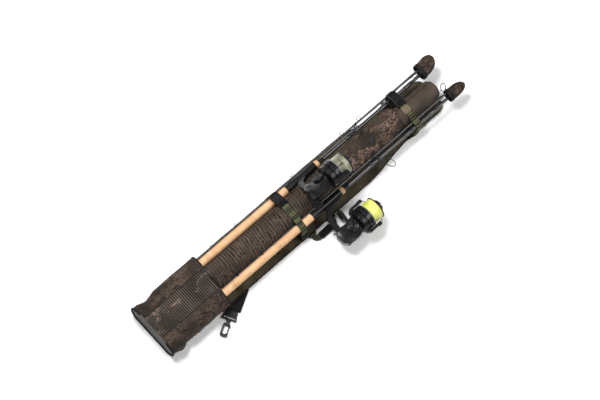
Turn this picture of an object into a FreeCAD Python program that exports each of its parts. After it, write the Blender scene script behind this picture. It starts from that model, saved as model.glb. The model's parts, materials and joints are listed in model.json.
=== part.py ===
"""Fishing rod case lying on its back, loaded with two made-up rods and their reels.

The row frame is +X from the butt end to the tip end, +Y to the left rod, +Z up from the ground.
Its origin is on the flat underside of the back panel, on the centre line, midway along the whole case.
Lengths are in millimetres.
"""
import FreeCAD, Part
import Sketcher
import math
import os
import re

V = FreeCAD.Vector
X_AXIS, Y_AXIS, Z_AXIS = V(1, 0, 0), V(0, 1, 0), V(0, 0, 1)

doc = FreeCAD.newDocument("rod_case")
sheet = doc.addObject("Spreadsheet::Sheet", "dims")

# Driving dimensions. A "station" is measured along X from the butt end of the case.
DIMENSIONS = {
    # case
    "butt_end": -698,
    "panel_length": 1310, "panel_start": 6, "panel_half_width": 95, "panel_tip_half_width": 70,
    "panel_thickness": 12, "panel_taper_start": 930, "panel_taper_end": 1105, "board_thickness": 3,
    "cup_depth": 16, "cup_half_width": 101, "cup_height": 100, "cup_wall": 2.5, "cup_corner": 44,
    "pocket_length": 258, "pocket_half_width": 101, "pocket_height": 102, "pocket_corner": 46,
    "pocket_skin": 2.5, "mesh_half_width": 44, "mesh_skin": 1.2,
    "sleeve_radius": 50, "sleeve_skin": 3, "sleeve_start": 260, "sleeve_end": 1123, "sleeve_height": 62.5,
    "bag_radius": 38, "bag_start": 266, "bag_end": 1317,
    # straps and buckles
    "webbing_width": 25, "webbing_thickness": 1.8, "strap_gap": 1.2,
    "lower_strap_station": 607, "upper_strap_station": 1164,
    "buckle_width": 34, "buckle_thickness": 11, "socket_length": 34, "plug_length": 22, "prong_length": 24,
    "wing_length": 62, "wing_thickness": 3.6, "wing_height": 62,
    # rods
    "rod_offset": 63, "rod_height": 78, "butt_station": 26, "cork_length": 632, "cork_radius": 13.75,
    "seat_length": 134, "seat_radius": 12.5, "hood_radius": 13.7, "fore_cork_length": 14,
    "fore_cork_radius": 13.2, "blank_end": 1364, "blank_root_radius": 7.5, "blank_end_radius": 5.6,
    "tip_start": 60, "tip_end": 1372, "tip_thin_radius": 1.3, "tip_thick_radius": 4.8,
    "big_ring_station": 975, "ring_wire": 1.4, "left_ring_station": 1278, "right_ring_station": 1296,
    "cap_length": 80, "cap_skin": 2.5, "cap_height": 42, "left_cap_start": 1300, "right_cap_start": 1316,
    # reel, in its own frame: +X to the rod tip along the spool axis, +Z to the rod, +Y to the crank
    "reel_station": 745, "reel_reach": 120, "reel_roll_left": 217.6, "reel_roll_right": -90,
    "body_width": 34, "shaft_radius": 4, "fit": 0.05,
    "cover_radius": 20, "cover_centre": -10, "rotor_start": 13, "rotor_end": 35, "rotor_radius": 42,
    "arm_inner": 45, "arm_outer": 53.5,
    "arm_width": 20, "bail_pivot": 71, "bail_loop": 57, "bail_wire": 1.3, "bail_rest": 50,
    "spool_start": 38, "spool_radius": 43, "line_start": 62, "line_radius": 38.5, "core_radius": 31,
    "lip_start": 99, "lip_end": 103, "lip_radius": 41, "drag_end": 118, "drag_radius": 21,
    "crank_reach": 66, "crank_plane": 30, "crank_thickness": 5, "knob_length": 22, "pin_radius": 2.5,
    "rotor_turn_left": 11, "rotor_turn_right": 0, "crank_turn_left": 165, "crank_turn_right": -83,
    # carry handle, shoulder strap and snap hook
    "handle_start": 626, "handle_end": 738, "handle_reach": 132, "handle_bar": 101.5, "handle_height": 7,
    "hook_station": 344, "hook_side": -67, "hook_turn": 208, "pad_length": 100, "pad_width": 56,
    "shoulder_web": 40, "slider_width": 45, "eye_width": 50,
}
for row, (alias, value) in enumerate(DIMENSIONS.items(), start=1):
    sheet.set(f"A{row}", alias)
    sheet.set(f"B{row}", str(value))
    sheet.setAlias(f"B{row}", alias)
doc.recompute()

nodes = []


def dim(alias):
    """A cell's value, for shapes that are set in code."""
    return float(sheet.get(alias))


def cell(text):
    """An expression in which every alias reads its spreadsheet cell."""
    return re.sub(r"[a-z_]{3,}", lambda m: f"dims.{m[0]}" if m[0] in DIMENSIONS else m[0], text)


def bind(thing, **sizes):
    for name, text in sizes.items():
        thing.setExpression(name, cell(text))
    return thing


def place(thing, x="0", y="0", z="0", turn=None):
    """Turns a thing, then binds its position to the sheet."""
    if turn is not None:
        thing.Placement = FreeCAD.Placement(V(), turn)
    for axis, text in zip("xyz", (x, y, z)):
        thing.setExpression(f".Placement.Base.{axis}", cell(text))
    return thing


def spin(axis, angle):
    return FreeCAD.Rotation(axis, angle)


def part_object(kind, **sizes):
    return bind(doc.addObject(f"Part::{kind}", kind.lower()), **sizes)


def box(length, width, height, x="0", y="0", z="0"):
    """A box with its centre on Y, whose X and Z start at the given place."""
    block = part_object("Box", Length=length, Width=width, Height=height)
    return place(block, x, f"{y} - ({width})/2", z)


def rod_along(axis, radius, length, x="0", y="0", z="0", end_radius=None):
    """A cylinder, or a cone where an end radius is given, along an axis."""
    if end_radius is None:
        bar = part_object("Cylinder", Radius=radius, Height=length)
    else:
        bar = part_object("Cone", Radius1=radius, Radius2=end_radius, Height=length)
    return place(bar, x, y, z, FreeCAD.Rotation(Z_AXIS, axis))


def fuse(*things):
    joined = doc.addObject("Part::MultiFuse", "fuse")
    joined.Shapes = list(things)
    return joined


def cut(base, *tools):
    result = doc.addObject("Part::Cut", "cut")
    result.Base, result.Tool = base, tools[0] if len(tools) == 1 else fuse(*tools)
    return result


def rounded(thing, radius, edges=None):
    """Fillets the edges that the test chooses, or all of them."""
    doc.recompute()
    chosen = [i for i, e in enumerate(thing.Shape.Edges, 1) if edges is None or edges(e)]
    soft = doc.addObject("Part::Fillet", "fillet")
    soft.Base, soft.Edges = thing, [(i, radius, radius) for i in chosen]
    return soft


def along(axis):
    """A test for straight edges that run along an axis."""
    def test(edge):
        straight = edge.Curve.TypeId == "Part::GeomLine"
        return straight and abs(edge.tangentAt(edge.FirstParameter).dot(axis)) > 0.99
    return test


def profile(body, plane, points):
    """A closed polygon sketch on one of the body's own planes, each corner bound to the sheet."""
    sketch = body.newObject("Sketcher::SketchObject", "sketch")
    origin_plane = next(o for o in body.Origin.OriginFeatures if o.Role == plane)
    sketch.AttachmentSupport, sketch.MapMode = [(origin_plane, "")], "FlatFace"
    count = len(points)
    turns = [2 * math.pi * i / count for i in range(count)]
    corners = [V(10 * math.cos(turn), 10 * math.sin(turn)) for turn in turns]
    for i in range(count):
        sketch.addGeometry(Part.LineSegment(corners[i], corners[(i + 1) % count]), False)
    for i in range(count):
        sketch.addConstraint(Sketcher.Constraint("Coincident", i, 2, (i + 1) % count, 1))
    for i, point in enumerate(points):
        for kind, text, start in zip(("DistanceX", "DistanceY"), point, corners[i]):
            index = sketch.addConstraint(Sketcher.Constraint(kind, -1, 1, i, 1, start))
            sketch.setExpression(f"Constraints[{index}]", cell(text))
    return sketch


def turned(points):
    """A body of revolution about X. Each point is a pair of texts, its place along X and its radius."""
    body = doc.addObject("PartDesign::Body", "body")
    sketch = profile(body, "XZ_Plane", points)
    feature = body.newObject("PartDesign::Revolution", "turn")
    feature.Profile, feature.ReferenceAxis, feature.Angle = sketch, (sketch, ["H_Axis"]), 360
    return body


def plate(points, thickness, plane="XZ_Plane"):
    """A polygon padded both ways from one of the body's planes."""
    body = doc.addObject("PartDesign::Body", "body")
    feature = body.newObject("PartDesign::Pad", "pad")
    feature.Profile = profile(body, plane, points)
    feature.Midplane = True
    bind(feature, Length=thickness)
    return body


def free_shape(shape):
    """A shape that neither a sketch nor a primitive gives."""
    feature = doc.addObject("Part::Feature", "shape")
    feature.Shape = shape
    return feature


def node(label, thing):
    thing.Label = label
    nodes.append(thing)
    return thing


# ---- case ----

def oval(half_width, height, corner, x, base=0.0):
    """A rounded rectangle across the case, standing on the base height."""
    w, h, r = half_width, height, corner
    def at(y, z):
        return V(x, y, base + z)
    d = r * (1 - math.sqrt(0.5))
    edges = [
        Part.LineSegment(at(-w + r, 0), at(w - r, 0)), Part.Arc(at(w - r, 0), at(w - d, d), at(w, r)),
        Part.LineSegment(at(w, r), at(w, h - r)), Part.Arc(at(w, h - r), at(w - d, h - d), at(w - r, h)),
        Part.LineSegment(at(w - r, h), at(-w + r, h)),
        Part.Arc(at(-w + r, h), at(-w + d, h - d), at(-w, h - r)),
        Part.LineSegment(at(-w, h - r), at(-w, r)), Part.Arc(at(-w, r), at(-w + d, d), at(-w + r, 0)),
    ]
    return Part.Wire([e.toShape() for e in edges])


def prism(wire, length):
    return Part.Face(wire).extrude(V(length, 0, 0))


def case_panel():
    """Padded back panel with its stiffening board inside."""
    start, end = "butt_end + panel_start", "butt_end + panel_start + panel_length"
    half, tip = "panel_half_width", "panel_tip_half_width"
    outline = [
        (start, f"-{half}"), ("butt_end + panel_taper_start", f"-{half}"),
        ("butt_end + panel_taper_end", f"-{tip}"), (f"{end} - 25", f"-{tip}"), (end, f"-{tip} + 25"),
        (end, f"{tip} - 25"), (f"{end} - 25", tip), ("butt_end + panel_taper_end", tip),
        ("butt_end + panel_taper_start", half), (start, half),
    ]
    pad = plate(outline, "panel_thickness", "XY_Plane")
    place(pad, z="panel_thickness/2")
    slot_size = ("panel_length - 60", "100", "board_thickness + 1")
    slot_place = ("butt_end + panel_start + 30", "0", "panel_thickness/2 - board_thickness/2 - 0.5")
    node("back_panel", cut(rounded(pad, 2.5, lambda e: e.BoundBox.ZMin > dim("panel_thickness") - 0.1),
                           box(*slot_size, *slot_place)))
    node("spine_board", box("panel_length - 62", "98", "board_thickness", "butt_end + panel_start + 31", "0",
                            "panel_thickness/2 - board_thickness/2"))


def butt_end_pocket():
    """Moulded cup, its black binding, the pocket that holds the rod butts, and the pocket's mesh front."""
    wall, depth, butt = dim("cup_wall"), dim("cup_depth"), dim("butt_end")
    half, high, corner = dim("cup_half_width"), dim("cup_height"), dim("cup_corner")
    inner = prism(oval(half - wall, high - 2 * wall, corner - wall, butt + wall, wall), depth)
    shelf = Part.makeBox(depth, 2 * dim("panel_half_width") + 1, dim("panel_thickness") + 0.2,
                         V(butt + dim("panel_start") - 0.2, -dim("panel_half_width") - 0.5, 0))
    node("base_cup", free_shape(prism(oval(half, high, corner, butt), depth).cut(inner).cut(shelf)))
    rim = prism(oval(half + 1.6, high + 1.6, corner + 1.6, butt + 2), 5)
    core = prism(oval(half, high, corner, butt + 1), 8)
    below = Part.makeBox(20, 300, 30, V(butt - 5, -150, -30))
    node("base_binding", free_shape(rim.cut(core).cut(below).cut(shelf)))

    skin, length = dim("pocket_skin"), dim("pocket_length") - depth - 0.2
    x = butt + depth + 0.2
    w, h, r = dim("pocket_half_width"), dim("pocket_height"), dim("pocket_corner")
    shell = prism(oval(w, h, r, x), length)
    hollow = prism(oval(w - skin, h - 2 * skin, r - skin, x - 1, skin), length + 2)
    floor_slot = Part.makeBox(length + 2, 2 * dim("panel_half_width") + 0.8, dim("panel_thickness") + 0.2,
                              V(x - 1, -dim("panel_half_width") - 0.4, -0.1))
    half = dim("mesh_half_width")
    window = Part.makeBox(length - 22, 2 * half, 20, V(x + 11, -half, h - 10))
    node("butt_pocket", free_shape(shell.cut(hollow).cut(floor_slot).cut(window)))
    mesh = Part.makeBox(length - 22.2, 2 * dim("mesh_half_width") - 0.2, dim("mesh_skin"),
                        V(x + 11.1, -dim("mesh_half_width") + 0.1, h - skin + 0.6))
    node("pocket_mesh_front", free_shape(mesh))


def sleeve_and_bag():
    """Storage sleeve stitched down the panel, and the round-ended stick bag that slides in it."""
    start, end = "butt_end + sleeve_start", "butt_end + sleeve_end"
    tube = turned([(start, "sleeve_radius - sleeve_skin"), (start, "sleeve_radius"),
                   (end, "sleeve_radius"), (end, "sleeve_radius - sleeve_skin")])
    node("storage_sleeve", place(tube, z="sleeve_height"))
    tail, tip = "butt_end + bag_start", "butt_end + bag_end"
    bag = turned([(tail, "0"), (tail, "bag_radius - 6"), (f"{tail} + 6", "bag_radius"),
                  (f"{tip} - 24", "bag_radius"), (f"{tip} - 8", "bag_radius - 8"), (tip, "bag_radius - 24"),
                  (tip, "0")])
    node("stick_bag", place(bag, z="sleeve_height"))


# ---- straps ----

def outer_tangent(first, second):
    """Where a belt leaves one circle and meets the next, turning anticlockwise round both."""
    (ay, az, ar), (by, bz, br) = first, second
    distance = math.hypot(by - ay, bz - az)
    normal = math.atan2(bz - az, by - ay) - math.acos((ar - br) / distance)
    out = (math.cos(normal), math.sin(normal))
    return (ay + ar * out[0], az + ar * out[1]), (by + br * out[0], bz + br * out[1]), normal


def belt(circles, grow):
    """Lines and arcs of a belt round circles (y, z, radius), anticlockwise as seen from the tip end."""
    grown = [(y, z, r + grow) for y, z, r in circles]
    spans = [outer_tangent(a, b) for a, b in zip(grown, grown[1:])]
    return grown, spans


def band_edges(circles, grow, station):
    """The belt's edges from the first circle to the last, with the arcs between its straight runs."""
    grown, spans = belt(circles, grow)
    edges = []
    for i, (leave, meet, angle) in enumerate(spans):
        edges.append(Part.LineSegment(V(station, *leave), V(station, *meet)).toShape())
        if i + 1 < len(spans):
            y, z, r = grown[i + 1]
            middle = angle + (spans[i + 1][2] - angle) % (2 * math.pi) / 2
            peak = V(station, y + r * math.cos(middle), z + r * math.sin(middle))
            edges.append(Part.Arc(V(station, *meet), peak, V(station, *spans[i + 1][0])).toShape())
    return edges


def band(circles, gap, thickness, station, width):
    """A flat strap: the area between two nested belts, as wide as the webbing."""
    inside = band_edges(circles, gap, station - width / 2)
    outside = band_edges(circles, gap + thickness, station - width / 2)
    def ends(edges):
        return edges[0].firstVertex().Point, edges[-1].lastVertex().Point
    (a, b), (c, d) = ends(inside), ends(outside)
    ring = [*inside, Part.LineSegment(b, d).toShape(), *reversed(outside), Part.LineSegment(c, a).toShape()]
    return Part.Face(Part.Wire(ring)).extrude(V(width, 0, 0))


def tip_line(side):
    """Where a rod's tip section lies beside its butt section, (y, z) at its thin end and its thick end."""
    return ((81, 79), (78.5, 88)) if side > 0 else ((-48, 82), (-48, 91))


def tip_circle(side, station):
    """A rod's tip section where a strap crosses it, as (y, z, radius)."""
    share = (station - dim("tip_start")) / (dim("tip_end") - dim("tip_start"))
    thin, thick = tip_line(side)
    radius = dim("tip_thin_radius") + (dim("tip_thick_radius") - dim("tip_thin_radius")) * share
    return (thin[0] + (thick[0] - thin[0]) * share, thin[1] + (thick[1] - thin[1]) * share, radius)


def buckle_frame(station, circles, run):
    """Frame of a buckle in the middle of a belt's run: +X from socket to plug, +Z outwards."""
    _, spans = belt(circles, dim("strap_gap") + dim("webbing_thickness"))
    (y1, z1), (y2, z2), normal = spans[run]
    middle = V(dim("butt_end") + station, (y1 + y2) / 2, (z1 + z2) / 2)
    ahead = V(0, y2 - y1, z2 - z1).normalize()
    out = V(0, math.cos(normal), math.sin(normal))
    return FreeCAD.Placement(middle, FreeCAD.Rotation(ahead, out.cross(ahead), out, "XZY"))


def buckle(prefix, frame):
    """Side-release buckle: the socket with its open mouth and side windows, and the three-pronged plug."""
    mouth = box("prong_length + 3", "buckle_width - 8", "buckle_thickness - 5",
                "-prong_length - 2", "0", "2.5")
    windows = box("9", "buckle_width + 4", "buckle_thickness - 6", "-prong_length + 2", "0", "3")
    bar_slot = box("3.4", "webbing_width + 1", "buckle_thickness + 4", "-socket_length + 2.4", "0", "-2")
    block = box("socket_length", "buckle_width", "buckle_thickness", "-socket_length")
    shell = rounded(block, 2.2, along(X_AXIS))
    socket = cut(shell, mouth, windows, bar_slot)
    block = rounded(box("plug_length", "buckle_width", "buckle_thickness - 1.5", "0.4"), 2, along(X_AXIS))
    slots = [box("3.6", "webbing_width + 1", "buckle_thickness + 4", f"plug_length - {back}", "0", "-2")
             for back in (6, 14)]
    prongs = [box("prong_length - 1", width, "buckle_thickness - 6.6", "-prong_length + 2", offset, "3.3")
              for width, offset in (("5", "buckle_width/2 - 7.2"),
                                    ("5", "-buckle_width/2 + 7.2"), ("6", "0"))]
    plug = fuse(cut(block, *slots), *prongs)
    for label, thing in ((f"{prefix}_buckle_socket", socket), (f"{prefix}_buckle_plug", plug)):
        node(label, thing).Placement = frame


def strap(prefix, station, circles, edge, run):
    """A strap in two halves, sewn to the panel's left edge and joined by a buckle over the rods."""
    gap, thick, width = dim("strap_gap"), dim("webbing_thickness"), dim("webbing_width")
    x = dim("butt_end") + station
    corner = (edge - 2.5, dim("panel_thickness") - 2.5, 2.5)
    circles = [corner, *circles, (-corner[0], *corner[1:])]
    whole = band(circles, gap, thick, x, width)
    frame = buckle_frame(station, circles, run)

    def beyond(start, length):
        block = Part.makeBox(length, 600, 600, V(start, -300, -300))
        block.Placement = frame
        return block

    def stitching(side, clear):
        depth = gap + thick - clear
        y = edge + clear if side > 0 else -edge - clear - depth
        return Part.makeBox(width, depth, 9, V(x - width / 2, y, 1))

    left = whole.common(beyond(-500, 500 - dim("socket_length") + 2)).fuse(stitching(1, 0))
    right = whole.common(beyond(dim("plug_length") - 2, 500)).fuse(stitching(-1, 0.5))
    node(f"{prefix}_strap_anchor", free_shape(left.removeSplitter()))
    node(f"{prefix}_strap", free_shape(right.removeSplitter()))
    buckle(prefix, frame)
    return circles


def second_layer(circles, station, thickness, grow, low, high):
    """A piece sewn on the outside of a strap, where the strap lies between two corners (y, z)."""
    x, width = dim("butt_end") + station, dim("webbing_width") + grow
    layer = band(circles, dim("strap_gap") + dim("webbing_thickness"), thickness, x, width)
    block = Part.makeBox(width + 2, high[0] - low[0], high[1] - low[1], V(x - width / 2 - 1, *low))
    return free_shape(layer.common(block))


def all_straps():
    """Lower strap over the cork handles and the sleeve, upper strap over the blanks and the stick bag."""
    lower, upper = dim("lower_strap_station"), dim("upper_strap_station")
    y, z, half = dim("rod_offset"), dim("rod_height"), dim("panel_tip_half_width")
    sleeve = (0.0, dim("sleeve_height"), dim("sleeve_radius"))
    bag = (0.0, dim("sleeve_height"), dim("bag_radius"))
    cork, blank = dim("cork_radius"), dim("blank_root_radius")
    circles = strap("lower", lower, [tip_circle(1, lower), (y, z, cork), sleeve, (-y, z, cork)],
                    dim("panel_half_width"), 2)
    node("lower_strap_end_tab", second_layer(circles, lower, 2.4, 0, (-110, 18), (-70, 44)))
    thick, top = dim("wing_thickness"), dim("panel_thickness") / 2 + dim("wing_height")
    wing = (-half - thick + 1.5, top - 1.5, 1.5)
    circles = strap("upper", upper, [tip_circle(1, upper), bag, tip_circle(-1, upper), (-y, z, blank), wing],
                    half + thick, 1)
    node("upper_strap_keeper", second_layer(circles, upper, 1.6, 6, (-14, 80), (12, 120)))
    for side, label in ((1, "left"), (-1, "right")):
        flap = box("wing_length", "wing_thickness", "wing_height",
                   "butt_end + upper_strap_station - wing_length/2",
                   f"{side}*(panel_tip_half_width + wing_thickness/2)", "panel_thickness/2")
        node(f"{label}_strap_wing", rounded(flap, 10, lambda e: e.BoundBox.ZMin > 50 and along(Y_AXIS)(e)))


# ---- rods and reels ----

def rod(side, label):
    """A two-piece rod: cork handle, reel seat, blanks and guide rings."""
    y, z = f"{side}*rod_offset", "rod_height"
    butt = "butt_end + butt_station"
    seat = f"{butt} + cork_length"
    fore = f"{seat} + seat_length"
    cork = rod_along(X_AXIS, "cork_radius", "cork_length", butt, y, z)
    rim = dim("butt_end") + 30
    node(f"{label}_cork_handle",
         rounded(cork, 3, lambda e: e.BoundBox.XMax < rim and e.BoundBox.XLength < 1))
    tube = rod_along(X_AXIS, "seat_radius", "seat_length", seat, y, z)
    hoods = [rod_along(X_AXIS, "hood_radius", length, start, y, z)
             for length, start in (("16", seat), ("9", f"{seat} + 22"), ("14", f"{fore} - 14"))]
    node(f"{label}_reel_seat", fuse(tube, *hoods))
    node(f"{label}_fore_cork", rod_along(X_AXIS, "fore_cork_radius", "fore_cork_length", fore, y, z))
    start = f"{fore} + fore_cork_length"
    node(f"{label}_butt_blank", rod_along(X_AXIS, "blank_root_radius", f"butt_end + blank_end - ({start})",
                                          start, y, z, "blank_end_radius"))
    thin, thick = tip_line(side)
    span = V(dim("tip_end") - dim("tip_start"), thick[0] - thin[0], thick[1] - thin[1])
    tip = part_object("Cone", Radius1="tip_thin_radius", Radius2="tip_thick_radius",
                      Height="tip_end - tip_start")
    place(tip, "butt_end + tip_start", str(thin[0]), str(thin[1]), FreeCAD.Rotation(Z_AXIS, span))
    node(f"{label}_tip_blank", tip)
    node(f"{label}_guides", guides(side))


def guide(station, base, outward, ring, reach, lean, foot_radius):
    """A ring held off a blank on two legs, leaning towards the tip."""
    wire = dim("ring_wire")
    across = X_AXIS.cross(outward)
    x = dim("butt_end") + station
    centre = V(x, *base) + outward * reach + X_AXIS * (reach * math.tan(lean))
    normal = X_AXIS * math.cos(lean) - outward * math.sin(lean)
    hoop = Part.makeTorus(ring, wire, centre, normal)
    pieces = []
    for sign in (-1, 1):
        foot = V(x - 22, *base) + outward * (foot_radius + 0.9)
        spread = normal.cross(across).normalize()
        inward = -spread if spread.dot(outward) > 0 else spread
        hold = centre + across * (sign * ring * 0.7) + inward * (ring * 0.714)
        leg = hold - foot
        pieces.append(Part.makeCylinder(0.9, leg.Length, foot, leg))
    plate_length = 30
    pad = Part.makeCylinder(1.5, plate_length, V(x - 30, *base) + outward * foot_radius, X_AXIS)
    return hoop.multiFuse([*pieces, pad])


def guides(side):
    y, z = side * dim("rod_offset"), dim("rod_height")
    lean = math.radians(22)
    thin, thick = tip_line(side)
    if side > 0:
        big = guide(dim("big_ring_station"), (y, z), V(0, -0.25, 0.968), 15, 25, lean, 7.0)
        small = guide(dim("left_ring_station"), thick, V(0, -0.6, 0.8), 12, 22, lean, 4.4)
    else:
        big = guide(dim("big_ring_station"), (y, z), V(0, -0.94, 0.342), 24.5, 37, lean, 7.0)
        small = guide(dim("right_ring_station"), thick, V(0, 0.75, 0.661), 14, 27, math.radians(38), 4.4)
    return free_shape(Part.makeCompound([big, small]))


def tip_cap(label, start, y, width):
    """Padded cup that holds both sections' ends together, with an elastic cuff round its mouth."""
    length, high, skin = dim("cap_length"), dim("cap_height"), dim("cap_skin")
    x, base = dim("butt_end") + dim(start), dim("rod_height") + 5 - high / 2
    def shell(first, depth, grow, corner):
        return prism(oval(width / 2 + grow, high + 2 * grow, corner + grow, first, base - grow), depth)
    cup = shell(x, length, 0, 18).cut(shell(x - 1, length - skin, -skin, 18))
    cuff = shell(x + 1, 12, 1.8, 18).cut(shell(x, 14, 0, 18))
    for name, shape in ((f"{label}_tip_cap", cup), (f"{label}_cap_cuff", cuff)):
        shape.translate(V(0, y, 0))
        node(name, free_shape(shape))


def reel_frame(side, label):
    roll = spin(X_AXIS, dim(f"reel_roll_{label}"))
    base = V(dim("butt_end") + dim("reel_station"), side * dim("rod_offset"), dim("rod_height"))
    return FreeCAD.Placement(base - roll.multVec(Z_AXIS) * dim("reel_reach"), roll)


def reel_body():
    """Gearbox with its ribbed rear cover, side plate, crank boss, stem and foot."""
    side = plate([("-71", "-20"), ("-58", "-33"), ("6", "-35"), ("11", "-26"), ("11", "26"), ("2", "31"),
                  ("-22", "24"), ("-44", "27"), ("-66", "20"), ("-72", "6")], "body_width")
    side = rounded(side, 5, along(Y_AXIS))
    cover = rod_along(Y_AXIS, "cover_radius", "body_width + 12", "cover_centre", "-body_width/2 - 7", "0")
    boss = rod_along(Y_AXIS, "9", "10", "0", "body_width/2", "0")
    stem = plate([("-64", "8"), ("-42", "8"), ("-39", "60"), ("-30", "84"), ("-8", "99"), ("-8", "105"),
                  ("-28", "105"), ("-48", "92"), ("-57", "66")], "12")
    foot = box("66", "15", "9", "-36", "0", "reel_reach - seat_radius - 6")
    saddle = rod_along(X_AXIS, "seat_radius", "80", "-42", "0", "reel_reach")
    bore = rod_along(Y_AXIS, "shaft_radius + fit", "40", "0", "3", "0")
    return cut(fuse(side, cover, boss, stem, foot), saddle, bore)


def rotor():
    """Cup behind the spool with two arms that carry the bail."""
    cup = turned([("rotor_start", "0"), ("rotor_start", "rotor_radius - 14"),
                  ("rotor_start + 5", "rotor_radius"), ("rotor_end", "rotor_radius"),
                  ("rotor_end", "shaft_radius"), ("lip_start - 4", "shaft_radius"),
                  ("lip_start - 4", "0")])
    arms = []
    for sign in ("", "-"):
        points = [("rotor_start + 4", "20"), ("rotor_start + 4", "arm_inner + 1"),
                  ("rotor_start + 14", "arm_outer"), ("bail_pivot + 9", "arm_outer"),
                  ("bail_pivot + 9", "arm_inner"), ("rotor_end", "arm_inner"),
                  ("rotor_end", "20")]
        arm = plate([(x, f"{sign}({r})") for x, r in points], "arm_width")
        arms.append(rounded(arm, 8, lambda e: e.BoundBox.XMin > dim("bail_pivot") and along(Z_AXIS)(e)))
    holes = rod_along(Z_AXIS, "pin_radius + fit", "140", "bail_pivot", "0", "-70")
    return cut(fuse(cup, *arms), holes)


def bail():
    """Wire hoop on two round ends, with the roller that guides the line; it swings about the rotor's Z."""
    hoop = part_object("Torus", Radius1="bail_loop", Radius2="bail_wire", Angle3="180")
    turn = FreeCAD.Rotation(X_AXIS, 90).multiply(FreeCAD.Rotation(Z_AXIS, -90))
    hoop.Placement = FreeCAD.Placement(V(), turn)
    ends = []
    for sign in ("", "-"):
        ends.append(rod_along(Z_AXIS, "8", "3", "0", "0", f"{sign}(arm_outer + 2) - 1.5"))
        ends.append(rod_along(Z_AXIS, "pin_radius", "arm_outer - arm_inner + 0.6", "0", "0",
                              f"{sign}(arm_outer + arm_inner)/2 - (arm_outer - arm_inner)/2 - 0.3"))
    roller = rod_along(Z_AXIS, "3.6", "8", "17", "0", "arm_inner + 3")
    yoke = box("18", "5", "2.6", "2", "0", "arm_outer + 0.6")
    return fuse(hoop, *ends, roller, yoke)


def spool():
    """Skirt, core, front lip and drag knob of one piece, bored for the shaft."""
    bore = "shaft_radius + fit"
    return turned([("spool_start", bore), ("spool_start", "spool_radius"), ("line_start - 3", "spool_radius"),
                   ("line_start", "lip_radius"), ("line_start", "core_radius"), ("lip_start", "core_radius"),
                   ("lip_start", "lip_radius"), ("lip_end", "lip_radius"), ("lip_end", "drag_radius"),
                   ("drag_end - 3", "drag_radius"), ("drag_end", "drag_radius - 4"), ("drag_end", "0"),
                   ("lip_start - 3.6", "0"), ("lip_start - 3.6", bore)])


def crank():
    """Arm on its shaft, with the pin its knob turns on. The arm points along X."""
    plane = "crank_plane"
    bar = box("crank_reach + 14", "crank_thickness", "12", "-7", f"{plane} + crank_thickness/2", "-6")
    arm = rounded(bar, 5,
                  along(Y_AXIS))
    hub = rod_along(Y_AXIS, "7.5", f"{plane} - body_width/2 - 9.5", "0", "body_width/2 + 10.5", "0")
    shaft = rod_along(Y_AXIS, "shaft_radius", f"{plane} - 4", "0", "5", "0")
    pin = rod_along(Y_AXIS, "pin_radius", "knob_length - 4",
                    "crank_reach", f"{plane} + crank_thickness - 1", "0")
    return fuse(arm, hub, shaft, pin)


def knob():
    """Rounded paddle that turns on the crank's pin; its own Y runs down the pin."""
    neck = rod_along(Y_AXIS, "6.5", "8", "0", "0", "0")
    paddle = rounded(box("32", "knob_length - 6", "17", "-16", "knob_length/2 + 3", "-8.5"), 6, along(Y_AXIS))
    bore = rod_along(Y_AXIS, "pin_radius + fit", "knob_length - 2", "0", "-3", "0")
    return cut(fuse(neck, paddle), bore)


def reel(side, label):
    frame = reel_frame(side, label)
    turn = FreeCAD.Placement(V(), spin(X_AXIS, dim(f"rotor_turn_{label}")))
    wind = FreeCAD.Placement(V(), spin(Y_AXIS, dim(f"crank_turn_{label}")))
    pivot = FreeCAD.Placement(V(dim("bail_pivot"), 0, 0), spin(Z_AXIS, dim("bail_rest")))
    knob_base = V(dim("crank_reach"), dim("crank_plane") + dim("crank_thickness") + 0.4, 0)
    grip = FreeCAD.Placement(knob_base, spin(Y_AXIS, 0))
    node(f"{label}_reel_body", reel_body()).Placement = frame
    node(f"{label}_rotor", rotor()).Placement = frame.multiply(turn)
    node(f"{label}_bail", bail()).Placement = frame.multiply(turn).multiply(pivot)
    node(f"{label}_spool", spool()).Placement = frame
    wound = turned([("line_start", "core_radius"), ("line_start", "line_radius"),
                    ("lip_start", "line_radius"),
                    ("lip_start", "core_radius")])
    node(f"{label}_line_winding", wound).Placement = frame
    node(f"{label}_crank", crank()).Placement = frame.multiply(wind)
    node(f"{label}_crank_knob", knob()).Placement = frame.multiply(wind).multiply(grip)


# ---- carry handle, shoulder strap and snap hook ----

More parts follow.
